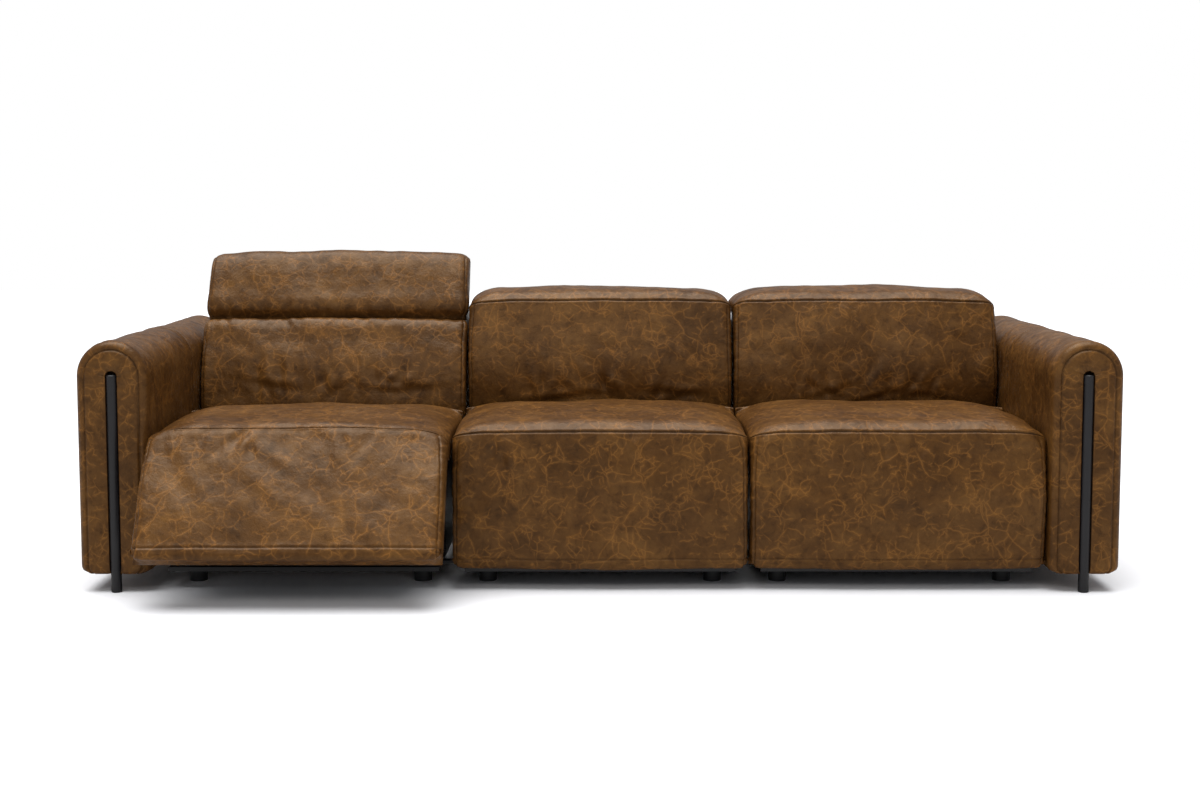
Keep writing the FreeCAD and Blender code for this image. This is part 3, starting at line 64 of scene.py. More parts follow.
# Places in millimetres: across from a seat's middle, depth behind the arms' front plane, height
FRONT = -387.0  # the arms' front plane in the row frame
PITCH = 766.0  # from one seat's middle to the next
HALF = 380.2  # half the width of a cover
WIDEST = 382.2  # how far a cover's seams and gathers reach
ARM_MIDDLE = 1240.0
AXLE = (70.0, 380.0)  # depth and height, seat closed
HINGE = (680.0, 310.0)
TILT = (665.0, 675.0)
SLIDE = 70.0  # the left seat as stored
OPENED = -33.0
LEANT = -16.0
RAISED = 80.0

SEAT_BOARD = 347.3  # height of the seat board's top
SEAT_REAR = 538.0
REAR_EDGE = 400.0  # height where the rear of a seat starts to round
FRONT_BOARD = 71.5  # depth of the front board's face
ROLL = 58.0  # radius of a seat's front roll
ROLL_TOP = (70, 438)
FACE_TOP = (12, 374)
FACE_FOOT = (13, 72)
HEM = 59.0  # height of a front's underside
FRONT_SEAM = (21, 411)
LOW_SEAM = (14, 80)

BACK_BOARD = 688.0  # depth of the back board's face
HEAD_BOARD = 672.5  # height of the headrest board's top
HEAD_REAR = 838.0
BACK_FOOT = (571, 385)
BACK_LOW = (558, 474)  # where a back meets the seat and wrinkles
TOP_SEAM = (611, 712)
TOP_SEAM_RAISED = (607, 703)
BACK_TOP = (662, 739)
TAIL = (854, 706)
LIP = 43.0  # from the seam to where a raised headrest's leather dips in


# Outlines of the covers, seen from the side


def arc(centre, radius, first, last, step=3.0):
    """Points of an arc, angles in degrees from the depth axis towards the height axis."""
    count = max(int(abs(last - first) * math.pi / 180 * radius / step), 3)
    angles = np.radians(np.linspace(first, last, count + 1))
    return np.stack([centre[0] + radius * np.cos(angles), centre[1] + radius * np.sin(angles)], 1)


def bowed(a, b, rise, count=60):
    """Points from a to b that swell to the left of the run by rise."""
    a, b = np.array(a, float), np.array(b, float)
    share = np.linspace(0, 1, count)[:, None]
    run = b - a
    side = np.array([-run[1], run[0]]) / np.linalg.norm(run)
    return a + run * share + side * rise * 4 * share * (1 - share)


def smooth_line(points, count=24):
    """A smooth line through the points."""
    p = np.array(points, float)
    p = np.vstack([2 * p[0] - p[1], p, 2 * p[-1] - p[-2]])
    out = []
    for i in range(1, len(p) - 2):
        t = np.linspace(0, 1, count, endpoint=False)[:, None]
        a, b, c, d = p[i - 1], p[i], p[i + 1], p[i + 2]
        out.append(0.5 * (2 * b + (c - a) * t + (2 * a - 5 * b + 4 * c - d) * t**2
                          + (3 * b - 3 * c + d - a) * t**3))
    return np.vstack([*out, p[-2]])


def lengths(points):
    """Length along a line of points, at each point."""
    return np.concatenate([[0], np.cumsum(np.linalg.norm(np.diff(points, axis=0), axis=1))])


def length_at(points, place):
    """Length along the line where it passes nearest to a place."""
    return lengths(points)[np.argmin(np.linalg.norm(points - np.array(place), axis=1))]


def spots(total, step, marks=()):
    """Places along a line, a step apart and closer at each mark."""
    near = np.array([-9, -6.5, -4.5, -3, -1.5, 0, 1.5, 3, 4.5, 6.5, 9])
    even = np.linspace(0, total, int(total / step) + 1)
    for mark in marks:
        even = even[np.abs(even - mark) > 10]
    inside = [mark + near for mark in marks]
    return np.unique(np.round(np.clip(np.concatenate([even, *inside]), 0, total), 3))


def along(points, places):
    """Points and outward normals at lengths along a line whose outside is on its left."""
    run = lengths(points)
    at = np.stack([np.interp(places, run, points[:, i]) for i in (0, 1)], 1)
    ahead = np.stack([np.interp(places + 4, run, points[:, i]) for i in (0, 1)], 1)
    behind = np.stack([np.interp(places - 4, run, points[:, i]) for i in (0, 1)], 1)
    tangent = ahead - behind
    tangent /= np.maximum(np.linalg.norm(tangent, axis=1, keepdims=True), 1e-9)
    return at, np.stack([-tangent[:, 1], tangent[:, 0]], 1)


# The leather's own shape


def field(u, v, size, seed, stretch=1.0, terms=14):
    """A smooth seeded random field with humps about size apart, longer along v by stretch."""
    rng = np.random.default_rng(seed)
    total = np.zeros(np.broadcast(u, v).shape)
    for _ in range(terms):
        angle = rng.uniform(0, 2 * math.pi)
        wave = 2 * math.pi / (size * rng.uniform(0.7, 1.5))
        total += np.cos(wave * (u * math.cos(angle) + v * math.sin(angle) / stretch)
                        + rng.uniform(0, 2 * math.pi))
    return total / math.sqrt(terms / 2)


def creases(u, v, size, seed, stretch=3.0):
    """Soft ridges with sharp valleys between them, from minus one to about zero."""
    return -np.exp(-np.abs(field(u, v, size, seed, stretch)) * 2.6)


def folds(u, v, seed, count, middle, spread, lean, size, high):
    """Separate soft folds scattered round a place, each a ridge beside a valley."""
    rng = np.random.default_rng(seed)
    total = np.zeros(np.broadcast(u, v).shape)
    for _ in range(count):
        a = u - middle[0] - spread[0] * rng.uniform(-1, 1)
        b = v - middle[1] - spread[1] * rng.uniform(-1, 1)
        turn = lean + rng.normal(0, 0.3)
        width = size[0] * rng.uniform(0.75, 1.3)
        reach = size[1] * rng.uniform(0.6, 1.4)
        down = b * math.cos(turn) - a * math.sin(turn)
        bow = rng.uniform(-4, 4) * (down / reach) ** 2
        over = (a * math.cos(turn) + b * math.sin(turn) + bow) / width
        total += high * rng.uniform(0.5, 1) * over * np.exp(0.5 - over**2 / 2 - (down / reach) ** 2)
    return total


def seam(distance, deep=3.2, ridge=1.6):
    """Section of a stitched seam: a narrow valley between two low ridges."""
    return -deep * np.exp(-(distance / 1.9) ** 2) + ridge * np.exp(-((np.abs(distance) - 6) / 3.2) ** 2)


def fade(distance, reach):
    """Falls from one at no distance towards nothing."""
    return np.exp(-np.abs(distance) / reach)


def line(distance, width=2.6):
    """A soft dark band in the colour: a seam's line, or painted shade along a crease."""
    return np.exp(-(distance / width) ** 2)


def ramp(value, reach):
    """Rises from nothing to one over a reach."""
    return np.clip(value / reach, 0, 1)


# Covers


STITCH = 0.82  # angle round a side edge where its seam runs
STITCH_NEAR = (-0.22, -0.13, -0.07, 0.0, 0.07, 0.13, 0.22)


def edge_angles(count=11):
    """Angles round a side edge, closer together at its seam."""
    even = np.linspace(0, math.pi / 2, count)[1:]
    even = even[np.abs(even - STITCH) > 0.25]
    return np.sort(np.concatenate([even, STITCH + np.array(STITCH_NEAR)]))


def cushion_grid(outer, inner, pairs, edges, marks, relief, step=7.0):
    """Rings of points round a cushion, one ring per place along its side outline.

    outer runs over the leather that shows, inner under it; pairs ties lengths on one to lengths
    on the other. edges gives, along outer, how far the rounding of the sides reaches across and
    in. relief gives the height of the leather over the plain form, and how dark its colour is
    painted: seam lines, and painted shade in a raised headrest's crease.
    """
    places = spots(lengths(outer)[-1], step, marks)
    at, normal = along(outer, places)
    under, _ = along(inner, np.interp(places, [a for a, _ in pairs], [b for _, b in pairs]))
    edge_at = [edge[0] for edge in edges]
    wide = np.interp(places, edge_at, [edge[1] for edge in edges])[:, None]
    deep = np.interp(places, edge_at, [edge[2] for edge in edges])[:, None]
    angle = edge_angles()
    flat = np.linspace(-1, 1, int(2 * HALF / step) + 1)
    tilt = np.concatenate([-angle[::-1], np.zeros(len(flat)), angle])[None, :]
    share = np.concatenate([-np.ones(len(angle)), flat, np.ones(len(angle))])[None, :]
    x = share * (HALF - wide) + wide * np.sin(tilt)
    inset = deep * (1 - np.cos(tilt))
    sideways = deep * np.sin(tilt)
    outwards = wide * np.cos(tilt)
    size = np.maximum(np.hypot(sideways, outwards), 1e-6)
    rise, seam_and_shade = relief(places[:, None], x, tilt, wide)
    lift = rise * outwards / size - inset
    body = np.stack([x + rise * sideways / size,
                     at[:, None, 0] + normal[:, None, 0] * lift,
                     at[:, None, 1] + normal[:, None, 1] * lift], 2)
    # The hidden underside needs only every seventh column
    few = np.unique(np.concatenate([np.arange(0, x.shape[1], 7), [x.shape[1] - 1]]))[::-1]
    shape = (len(places), len(few))
    below = np.stack([x[:, few], np.broadcast_to(under[:, 0:1], shape),
                      np.broadcast_to(under[:, 1:2], shape)], 2)
    body[..., 0] = np.clip(body[..., 0], -WIDEST, WIDEST)
    body[0, :, 1:], body[-1, :, 1:] = at[0], at[-1]
    below[0, :, 1:], below[-1, :, 1:] = at[0], at[-1]
    sides = []
    for top, low in ((body[:, -1], below[:, 0]), (below[:, -1], body[:, 0])):
        blend = np.linspace(0, 1, 5)[1:-1][None, :, None]
        sides.append(top[:, None, :] * (1 - blend) + low[:, None, :] * blend)
    grid = np.concatenate([body, sides[0], below, sides[1]], 1)
    dark = np.zeros(grid.shape[:2])
    dark[:, :x.shape[1]] = seam_and_shade
    return grid, dark


def turned(points, place, degrees):
    """Points turned about a line across the seat; a positive turn lifts what lies behind it."""
    a = math.radians(degrees)
    v, z = points[..., 1] - place[0], points[..., 2] - place[1]
    out = points.copy()
    out[..., 1] = place[0] + v * math.cos(a) - z * math.sin(a)
    out[..., 2] = place[1] + v * math.sin(a) + z * math.cos(a)
    return out


def slid(points, distance):
    """Points moved forward."""
    out = points.copy()
    out[..., 1] -= distance
    return out


def bend_share(points, start, end):
    """How far each point follows the moving body, smoothly from nothing at start to one at end."""
    run = end - start
    share = np.clip(((points - start) @ run) / (run @ run), 0, 1)[..., None]
    return share * share * (3 - 2 * share)


def row_frame(points, x):
    """Metres in the row frame, from millimetres about a seat's middle."""
    out = np.array(points, float)
    out[..., 0] += x
    out[..., 1] += FRONT
    return out * MM


def mesh_piece(name, grid, dark, material, caps, ring=True):
    """A closed mesh over a grid of points; caps are lists of point numbers that get one face each."""
    rows, columns = grid.shape[:2]
    number = np.arange(rows * columns).reshape(rows, columns)
    if ring:
        number = np.concatenate([number, number[:, :1]], 1)
    corners = [number[:-1, :-1], number[:-1, 1:], number[1:, 1:], number[1:, :-1]]
    faces = np.stack(corners, 2).reshape(-1, 4)
    mesh = bpy.data.meshes.new(name)
    capped = faces.tolist() + [list(map(int, cap)) for cap in caps]
    mesh.from_pydata(grid.reshape(-1, 3).tolist(), [], capped)
    bm = bmesh.new()
    bm.from_mesh(mesh)
    bmesh.ops.recalc_face_normals(bm, faces=bm.faces)
    if bm.calc_volume(signed=True) < 0:
        bmesh.ops.reverse_faces(bm, faces=bm.faces)
    bm.to_mesh(mesh)
    bm.free()
    mesh.polygons.foreach_set("use_smooth", [True] * len(mesh.polygons))
    # Darkens the leather's colour: seam lines, and painted shade in creases and the rods' grooves
    seam_and_shade = mesh.attributes.new("seam_and_shade", "FLOAT", "POINT")
    seam_and_shade.data.foreach_set("value", np.clip(dark, 0, 1).astype(np.float32).ravel())
    piece = bpy.data.objects.new(name, mesh)
    bpy.context.scene.collection.objects.link(piece)
    mesh.materials.append(material)
    return piece


def end_caps(grid):
    """The first and the last ring of a grid, as one face each."""
    rows, columns = grid.shape[:2]
    return [range(columns), range((rows - 1) * columns, rows * columns)]


# Materials


def shader(name, rough, metallic=0.0):
    """A new material with its node tree, links and main shader."""
    material = bpy.data.materials.new(name)
    material.use_nodes = True
    nodes = material.node_tree.nodes
    base = nodes["Principled BSDF"]
    base.inputs["Roughness"].default_value = rough
    base.inputs["Metallic"].default_value = metallic
    return material, nodes, material.node_tree.links, base


def colours(nodes, stops):
    """A colour ramp from places and screen colours."""
    node = nodes.new("ShaderNodeValToRGB")
    elements = node.color_ramp.elements
    while len(elements) < len(stops):
        elements.new(0.5)
    for element, (place, colour) in zip(elements, stops):
        element.position = place
        element.color = flat_colour(colour)
    return node


def flat_colour(colour):
    """A screen colour, 0 to 255, as the shader takes it."""
    return (*[linear(c) for c in colour], 1)


def linear(value):
    """One channel of a screen colour without its gamma."""
    value /= 255
    return value / 12.92 if value < 0.04045 else ((value + 0.055) / 1.055) ** 2.4


def noise_node(nodes, links, place, scale, detail=3.0, rough=0.55, distort=0.0):
    """Cloudy noise, as a value."""
    node = nodes.new("ShaderNodeTexNoise")
    node.inputs["Scale"].default_value = scale
    node.inputs["Detail"].default_value = detail
    node.inputs["Roughness"].default_value = rough
    node.inputs["Distortion"].default_value = distort
    links.new(place, node.inputs["Vector"])
    return node.outputs["Fac"]


def blend_node(nodes, links, factor, a, b, kind="MIX"):
    """Two colours mixed by a factor."""
    node = nodes.new("ShaderNodeMix")
    node.data_type = "RGBA"
    node.blend_type = kind
    put(links, node.inputs[0], factor)
    put(links, node.inputs[6], a)
    put(links, node.inputs[7], b)
    return node.outputs[2]


def put(links, socket, value):
    """Feeds a socket with another socket or a fixed value."""
    if isinstance(value, bpy.types.NodeSocket):
        links.new(value, socket)
    else:
        socket.default_value = value


def sums(nodes, links, kind, a, b):
    """Two values joined by one operation."""
    node = nodes.new("ShaderNodeMath")
    node.operation = kind
    put(links, node.inputs[0], a)
    put(links, node.inputs[1], b)
    return node.outputs[0]


def span(nodes, links, value, low, high, out_low=0.0, out_high=1.0):
    """A value led smoothly from one range to another."""
    node = nodes.new("ShaderNodeMapRange")
    node.clamp = True
    node.interpolation_type = "SMOOTHSTEP"
    for key, number in (("From Min", low), ("From Max", high), ("To Min", out_low), ("To Max", out_high)):
        node.inputs[key].default_value = number
    links.new(value, node.inputs["Value"])
    return node.outputs["Result"]


GROUND = [(0.28, (78, 50, 22)), (0.46, (91, 60, 28)), (0.60, (104, 71, 35)), (0.78, (121, 85, 43))]
MOTTLE = [(0.30, (150, 134, 112)), (0.48, (226, 218, 204)), (0.70, (255, 251, 238))]
VEIN_COLOUR = (176, 118, 54)
# Dark colour for seam lines, also used as painted shade in creases and grooves
SEAM_AND_SHADE_COLOUR = (34, 20, 10)
VEINS = (  # cells per metre, width of a crack, the mask's range, scale of the wander
    (9, 0.012, 0.48, 0.64, 6),
    (14, 0.018, 0.47, 0.62, 9),
    (22, 0.026, 0.47, 0.62, 13),
    (33, 0.036, 0.47, 0.62, 20),
)
VEIN_REACH = 0.7
VEIN_SHOWS = 0.42
SEAM_AND_SHADE_SHOWS = 0.8
GRAIN = 420.0  # pores per metre
GLOSS = (0.41, 0.31)  # roughness of dark and of light places
WEAR = 0.0004  # metres, depth of the wear on metal, plastic and timber


def leather_material():
    """Waxed brown leather: cloudy brown, thin branching pale cracks, fine grain, dark seam lines and
    painted shade in creases and grooves.
    """
    material, nodes, links, base = shader("leather_brown", 0.42)
    base.inputs["Specular IOR Level"].default_value = 0.30
    base.inputs["Specular Tint"].default_value = (1.0, 0.80, 0.58, 1)
    place = nodes.new("ShaderNodeTexCoord").outputs["Object"]

    def bent(scale, reach):
        """Places shifted by a noise, so that lines through them wander."""
        warp = nodes.new("ShaderNodeTexNoise")
        warp.inputs["Scale"].default_value = scale
        warp.inputs["Detail"].default_value = 4
        links.new(place, warp.inputs["Vector"])
        lift = nodes.new("ShaderNodeVectorMath")
        lift.operation = "MULTIPLY_ADD"
        links.new(warp.outputs["Color"], lift.inputs[0])
        lift.inputs[1].default_value = (reach, reach, reach)
        links.new(place, lift.inputs[2])
        return lift.outputs[0]

    clouds = noise_node(nodes, links, place, 7, 5, 0.62, 0.5)
    ground = colours(nodes, GROUND)
    links.new(clouds, ground.inputs[0])
    mid = noise_node(nodes, links, bent(14, 0.05), 34, 5, 0.68, 0.3)
    tint = colours(nodes, MOTTLE)
    links.new(mid, tint.inputs[0])
    colour = blend_node(nodes, links, 0.8, ground.outputs[0], tint.outputs[0], "MULTIPLY")

    veins = []
    for scale, width, low, high, wander in VEINS:
        cells = nodes.new("ShaderNodeTexVoronoi")
        cells.feature = "DISTANCE_TO_EDGE"
        cells.inputs["Scale"].default_value = scale
        links.new(bent(wander, VEIN_REACH / wander), cells.inputs["Vector"])
        crack = span(nodes, links, cells.outputs["Distance"], 0.0, width, 1.0, 0.0)
        halo = span(nodes, links, cells.outputs["Distance"], 0.0, width * 4, 0.4, 0.0)
        crack = sums(nodes, links, "MAXIMUM", crack, halo)
        mask = span(nodes, links, noise_node(nodes, links, place, scale * 0.7, 3, 0.6, 0.3), low, high)
        veins.append(sums(nodes, links, "MULTIPLY", crack, mask))
    vein = veins[0]
    for layer in veins[1:]:
        vein = sums(nodes, links, "MAXIMUM", vein, layer)
    worn = sums(nodes, links, "MULTIPLY", vein, VEIN_SHOWS)
    colour = blend_node(nodes, links, worn, colour, flat_colour(VEIN_COLOUR))
    # Seam lines and painted shade in creases and grooves, from the mesh's attribute
    seam_and_shade = nodes.new("ShaderNodeAttribute")
    seam_and_shade.attribute_name = "seam_and_shade"
    seam_and_shade_amount = sums(nodes, links, "MULTIPLY", seam_and_shade.outputs["Fac"], SEAM_AND_SHADE_SHOWS)
    colour = blend_node(nodes, links, seam_and_shade_amount, colour, flat_colour(SEAM_AND_SHADE_COLOUR))
    links.new(colour, base.inputs["Base Color"])

    shine = span(nodes, links, mid, 0.35, 0.7, *GLOSS)
    links.new(shine, base.inputs["Roughness"])

    grain = nodes.new("ShaderNodeTexVoronoi")
    grain.inputs["Scale"].default_value = GRAIN
    links.new(place, grain.inputs["Vector"])
    soft = noise_node(nodes, links, bent(14, 0.05), 55, 4, 0.6)
    height = sums(nodes, links, "ADD", sums(nodes, links, "MULTIPLY", grain.outputs["Distance"], 0.08),
                  sums(nodes, links, "MULTIPLY", soft, 0.8))
    height = sums(nodes, links, "SUBTRACT", height, sums(nodes, links, "MULTIPLY", vein, 0.10))
    bump = nodes.new("ShaderNodeBump")
    bump.inputs["Strength"].default_value = 0.5
    bump.inputs["Distance"].default_value = 0.004
    links.new(height, bump.inputs["Height"])
    links.new(bump.outputs[0], base.inputs["Normal"])
    return material


def plain_material(name, colour, rough, metallic=0.0, spread=0.12, scale=40):
    """One even colour with a little wear, for metal, plastic and timber."""
    material, nodes, links, base = shader(name, rough, metallic)
    place = nodes.new("ShaderNodeTexCoord").outputs["Object"]
    clouds = noise_node(nodes, links, place, scale, 3, 0.6)
    low = tuple(c * (1 - spread) for c in colour)
    high = tuple(min(c * (1 + spread), 255) for c in colour)
    tone = colours(nodes, [(0.3, low), (0.7, high)])
    links.new(clouds, tone.inputs[0])
    links.new(tone.outputs[0], base.inputs["Base Color"])
    bump = nodes.new("ShaderNodeBump")
    bump.inputs["Strength"].default_value = 0.3
    bump.inputs["Distance"].default_value = WEAR
    links.new(noise_node(nodes, links, place, scale * 9, 2), bump.inputs["Height"])
    links.new(bump.outputs[0], base.inputs["Normal"])
    return material


LEATHER = leather_material()
BLACK = plain_material("black_metal", (19, 18, 22), 0.42)
STEEL = plain_material("bare_steel", (150, 152, 156), 0.34, 1.0, 0.08)
TIMBER = plain_material("timber", (178, 140, 96), 0.7, 0.0, 0.16, 12)
PLASTIC = plain_material("black_plastic", (22, 22, 24), 0.5)


# Seats


def seat_outer():
    """Side outline of a closed seat and its front, from the rear underside over the top."""
    return np.vstack([
        [[SEAT_REAR, SEAT_BOARD], [SEAT_REAR, REAR_EDGE - 40], [SEAT_REAR, REAR_EDGE]],
        arc((SEAT_REAR - 16, REAR_EDGE + 14), 16, 0, 90),
        bowed((515, 431), (78, 438), -13)[1:],
        arc(AXLE, ROLL, 90, 180)[1:],
        bowed(FACE_TOP, FACE_FOOT, -9)[1:],
        arc((31, 71), 18, 180, 270)[1:],
        [[37.0, HEM - 4.5], [42.0, HEM], [FRONT_BOARD, HEM]],
    ])


def seam_distance(tilt, wide):
    """Distance from the stitching that follows a side edge."""
    return (np.abs(tilt) - STITCH) * np.minimum(wide, 40) * 0.8


def seat_cover(prefix, x, opened):
    """Leather of a seat and its front in one piece, from the front's underside over the top."""
    outer = seat_outer()[::-1]
    total = lengths(outer)[-1]
    inner = np.array([[FRONT_BOARD, HEM], [FRONT_BOARD, SEAT_BOARD], [SEAT_REAR, SEAT_BOARD]])
    at_front = length_at(outer, FACE_TOP)
    at_roll = length_at(outer, ROLL_TOP)
    front_seam = length_at(outer, FRONT_SEAM)
    low_seam = length_at(outer, LOW_SEAM)
    rear = length_at(outer, (SEAT_REAR, REAR_EDGE))
    pairs = [(0, 0), (at_front, 270), (at_roll, 340), (total, lengths(inner)[-1])]
    edges = [(0, 24, 22), (24, 28, 28), (90, 26, 28), (at_front - 60, 26, 28), (at_front, 44, 36),
             (front_seam, 90, 42), (at_roll, 150, 52), (rear - 60, 150, 50), (rear, 50, 14),
             (total, 14, 10)]
    seed = {"left": 11, "middle": 23, "right": 37}[prefix]

    def relief(place, across, tilt, wide):
        side = np.abs(across) / HALF
        on_front = ramp(front_seam - place, 30)
        crown = (9.0 - 3.0 * on_front) * (1 - side**2) - 6.0
        crown = crown * ramp(total - place, 60) * ramp(place, 60)
        wavy = 1.8 * field(across, place, 240, seed) + 0.4 * field(across, place, 70, seed + 1)
        wavy = wavy * ramp(place - 30, 60)
        hang = folds(across, place, seed + 2, 13, (-60, front_seam - 52), (260, 16), 0, (11, 40), 3.0)
        hang += folds(across, place, seed + 8, 8, (0, 200), (320, 130), 0.8, (20, 110), 2.0)
        hang = hang * on_front
        at_seam = fade(place - front_seam, 50) * (1 - on_front)
        hang += 1.2 * creases(across, place, 40, seed + 3, 3.0) * at_seam
        hang += 1.6 * creases(across, place, 40, seed + 5, 3.0) * fade(place - low_seam, 34)
        inward = HALF - np.abs(across)
        sides = 3.0 * creases(place, across, 22, seed + 4, 2.6) * fade(inward - 6, 22) * on_front
        sides += 1.6 * creases(place, across, 40, seed + 6, 2.6) * fade(inward - 30, 60) * (1 - on_front)
        ends = 0.35 + 0.65 * np.cos(tilt)
        stitched = on_front * ramp(place - 20, 30)
        stitches = seam(seam_distance(tilt, wide), 2.6, 1.2) * stitched
        height = ((crown + wavy + hang) * np.cos(tilt) + sides + stitches
                  + (seam(place - front_seam) + seam(place - low_seam, 1.6, 0.9)) * ends)
        seam_and_shade = (0.9 * line(place - front_seam, 2.2) + 0.12 * line(place - low_seam)
                + 0.4 * line(seam_distance(tilt, wide)) * stitched)
        return height, seam_and_shade

    grid, dark = cushion_grid(outer, inner, pairs, edges, (front_seam, low_seam), relief)
    start = np.array([0, 76.0, 440.0])
    end = np.array([0, 14.0, 376.0])
    if opened:
        share = bend_share(grid, start, end)
        grid = slid(grid * (1 - share) + turned(grid, AXLE, OPENED) * share, SLIDE)
        start = slid(turned(start, AXLE, OPENED / 5), SLIDE)
        end = slid(turned(end, AXLE, OPENED), SLIDE)
    piece = mesh_piece(f"{prefix}_seat_leather", row_frame(grid, x), dark, LEATHER, end_caps(grid))
    return piece, row_frame(start, x), row_frame(end, x)


# Backs


def back_outer():
    """Side outline of a back with its headrest folded, from the rear underside up the face."""
    return np.vstack([
        [[BACK_BOARD, SEAT_BOARD], [BACK_BOARD - 28, SEAT_BOARD], [BACK_BOARD - 63, SEAT_BOARD]],
        smooth_line([(610, 348), (586, 356), BACK_FOOT, (563, 430), (557, 480), (559, 530), (571, 590),
                     (588, 648), (600, 688), TOP_SEAM, (630, 731), (662, 740), (730, 745), (795, 741),
                     (836, 729), TAIL, (853, 686), (HEAD_REAR, HEAD_BOARD)]),
    ])


def back_cover(prefix, x, raised):
    """Leather of a back and its headrest in one piece."""
    outer = back_outer()
    total = lengths(outer)[-1]
    inner = np.array([[BACK_BOARD, SEAT_BOARD], [BACK_BOARD, 640.0], [692.0, HEAD_BOARD],
                      [HEAD_REAR, HEAD_BOARD]])
    top_seam = length_at(outer, TOP_SEAM_RAISED if raised else TOP_SEAM)
    top = length_at(outer, BACK_TOP)
    tail = length_at(outer, TAIL)
    foot = length_at(outer, BACK_FOOT)
    low = length_at(outer, BACK_LOW)
    under = lengths(inner)[-1]
    pairs = [(0, 0), (foot, 40), (top_seam - 60, 240), (top, under - 146), (tail, under - 20),
             (total, under)]
    if raised:
        edges = [(0, 10, 8), (foot, 22, 24), (top_seam - 70, 22, 24), (top_seam + 10, 24, 28),
                 (tail - 60, 26, 26), (tail, 34, 30), (total, 14, 12)]
    else:
        edges = [(0, 10, 8), (foot, 22, 24), (top_seam - 110, 24, 26), (top_seam - 10, 34, 34),
                 (top_seam + 22, 64, 44), (top, 100, 50), (tail - 30, 80, 40), (tail, 50, 32),
                 (total, 14, 12)]
    seed = {"left": 51, "middle": 67, "right": 83}[prefix]

    def relief(place, across, tilt, wide):
        side = np.abs(across) / HALF
        crown = 11 * (1 - side**2) - 6
        crown = crown * ramp(total - place, 50) * ramp(place, 90)
        on_face = ramp(top_seam - place, 30)
        wavy = 1.8 * field(across, place, 230, seed) + 0.4 * field(across, place, 64, seed + 1)
        hang = folds(across, place, seed + 2, 16, (0, low), (210, 22), 0, (10, 38), 3.4)
        hang += folds(across, place, seed + 8, 6, (0, low - 26), (230, 10), math.pi / 2, (9, 90), 2.6)
        hang += folds(across, place, seed + 9, 8, (0, low + 90), (300, 70), 0.9, (16, 80), 1.6)
        hang += 1.8 * creases(across, place, 46, seed + 3, 2.6) * fade(place - top_seam, 34)
        inward = HALF - np.abs(across)
        sides = 2.8 * creases(place, across, 22, seed + 4, 2.6) * fade(inward - 6, 20)
        sides = sides * (0.3 + 0.7 * on_face)
        ends = 0.35 + 0.65 * np.cos(tilt)
        stitched = (ramp(tail - place, 30) if raised else on_face) * ramp(place - foot, 30)
        stitches = seam(seam_distance(tilt, wide), 2.6, 1.2) * stitched
        join = seam(place - top_seam, 3.0, 1.6)
        seam_and_shade = 0.9 * line(place - top_seam, 2.2)
        if raised:
            lip = np.abs(place - top_seam - 1) - LIP
            tucks = folds(across, lip, seed + 7, 30, (0, 18), (360, 6), 0, (9, 22), 2.4)
            join = (6 * np.exp(-((lip - 42) / 30) ** 2) - 15 * np.exp(-(np.maximum(lip, 0) / 14) ** 2)
                    + tucks * (lip > -10))
            # Painted shade: wide dark bands in the two crease valleys where the leather dips in, in place
            # of the seam's line
            seam_and_shade = (0.9 * line(place - top_seam + LIP - 1, 5)
                    + 0.6 * line(place - top_seam - LIP - 1, 6))
        height = (crown + wavy + hang) * np.cos(tilt) + sides + stitches + join * ends
        return height, seam_and_shade + 0.4 * line(seam_distance(tilt, wide)) * stitched

    grid, dark = cushion_grid(outer, inner, pairs, edges, (top_seam,), relief)
    start = np.array([0, 600.0, 640.0])
    end = np.array([0, 640.0, 714.0])
    if raised:
        share = bend_share(grid, start, end)
        grid = grid * (1 - share) + turned(grid, TILT, RAISED) * share
        start = np.array([0, 620.0, 628.0])
        end = np.array([0, 632.0, 700.0])
        grid, start, end = [slid(turned(p, HINGE, LEANT), SLIDE) for p in (grid, start, end)]
    piece = mesh_piece(f"{prefix}_back_leather", row_frame(grid, x), dark, LEATHER, end_caps(grid))
    return piece, row_frame(start, x), row_frame(end, x)


for prefix, x in (("left", -PITCH), ("middle", 0.0), ("right", PITCH)):
    reclines = prefix != "middle"
    piece, start, end = seat_cover(prefix, x, prefix == "left")
    if reclines:
        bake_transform(piece)
        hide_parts(f"{prefix}_seat_cushion", f"{prefix}_footrest_pad")
    else:
        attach(piece, "sofa")
        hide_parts("middle_seat_cushion", "middle_front_pad")
    piece, start, end = back_cover(prefix, x, prefix == "left")
    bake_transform(piece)
    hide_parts(f"{prefix}_back_cushion", f"{prefix}_headrest_pad")


# Arms


ARM_HALF = 91.0
ARM_LOW = 49.0
ARM_SPRING = 555.0  # height where an arm starts to round over
ARM_DEEP = 975.0
ARM_EDGE = 20.0  # rounding of its edges
ARM_CROSS = 470.0  # depth of the seam over it
ROD_AXIS = 8.5  # depth of the rod's middle
GROOVE = 17.0  # radius of the rod's groove
CROSS_NEAR = (-8, -5, -3, -1.5, 0, 1.5, 3, 5, 8)
FACE_RINGS = (0.0, 0.03, 0.06, 0.1, 0.16, 0.26, 0.38, 0.5, 0.62, 0.74, 0.84, 0.92, 0.97, 1.0)
REAR_RINGS = (0.0, 0.35, 0.7)


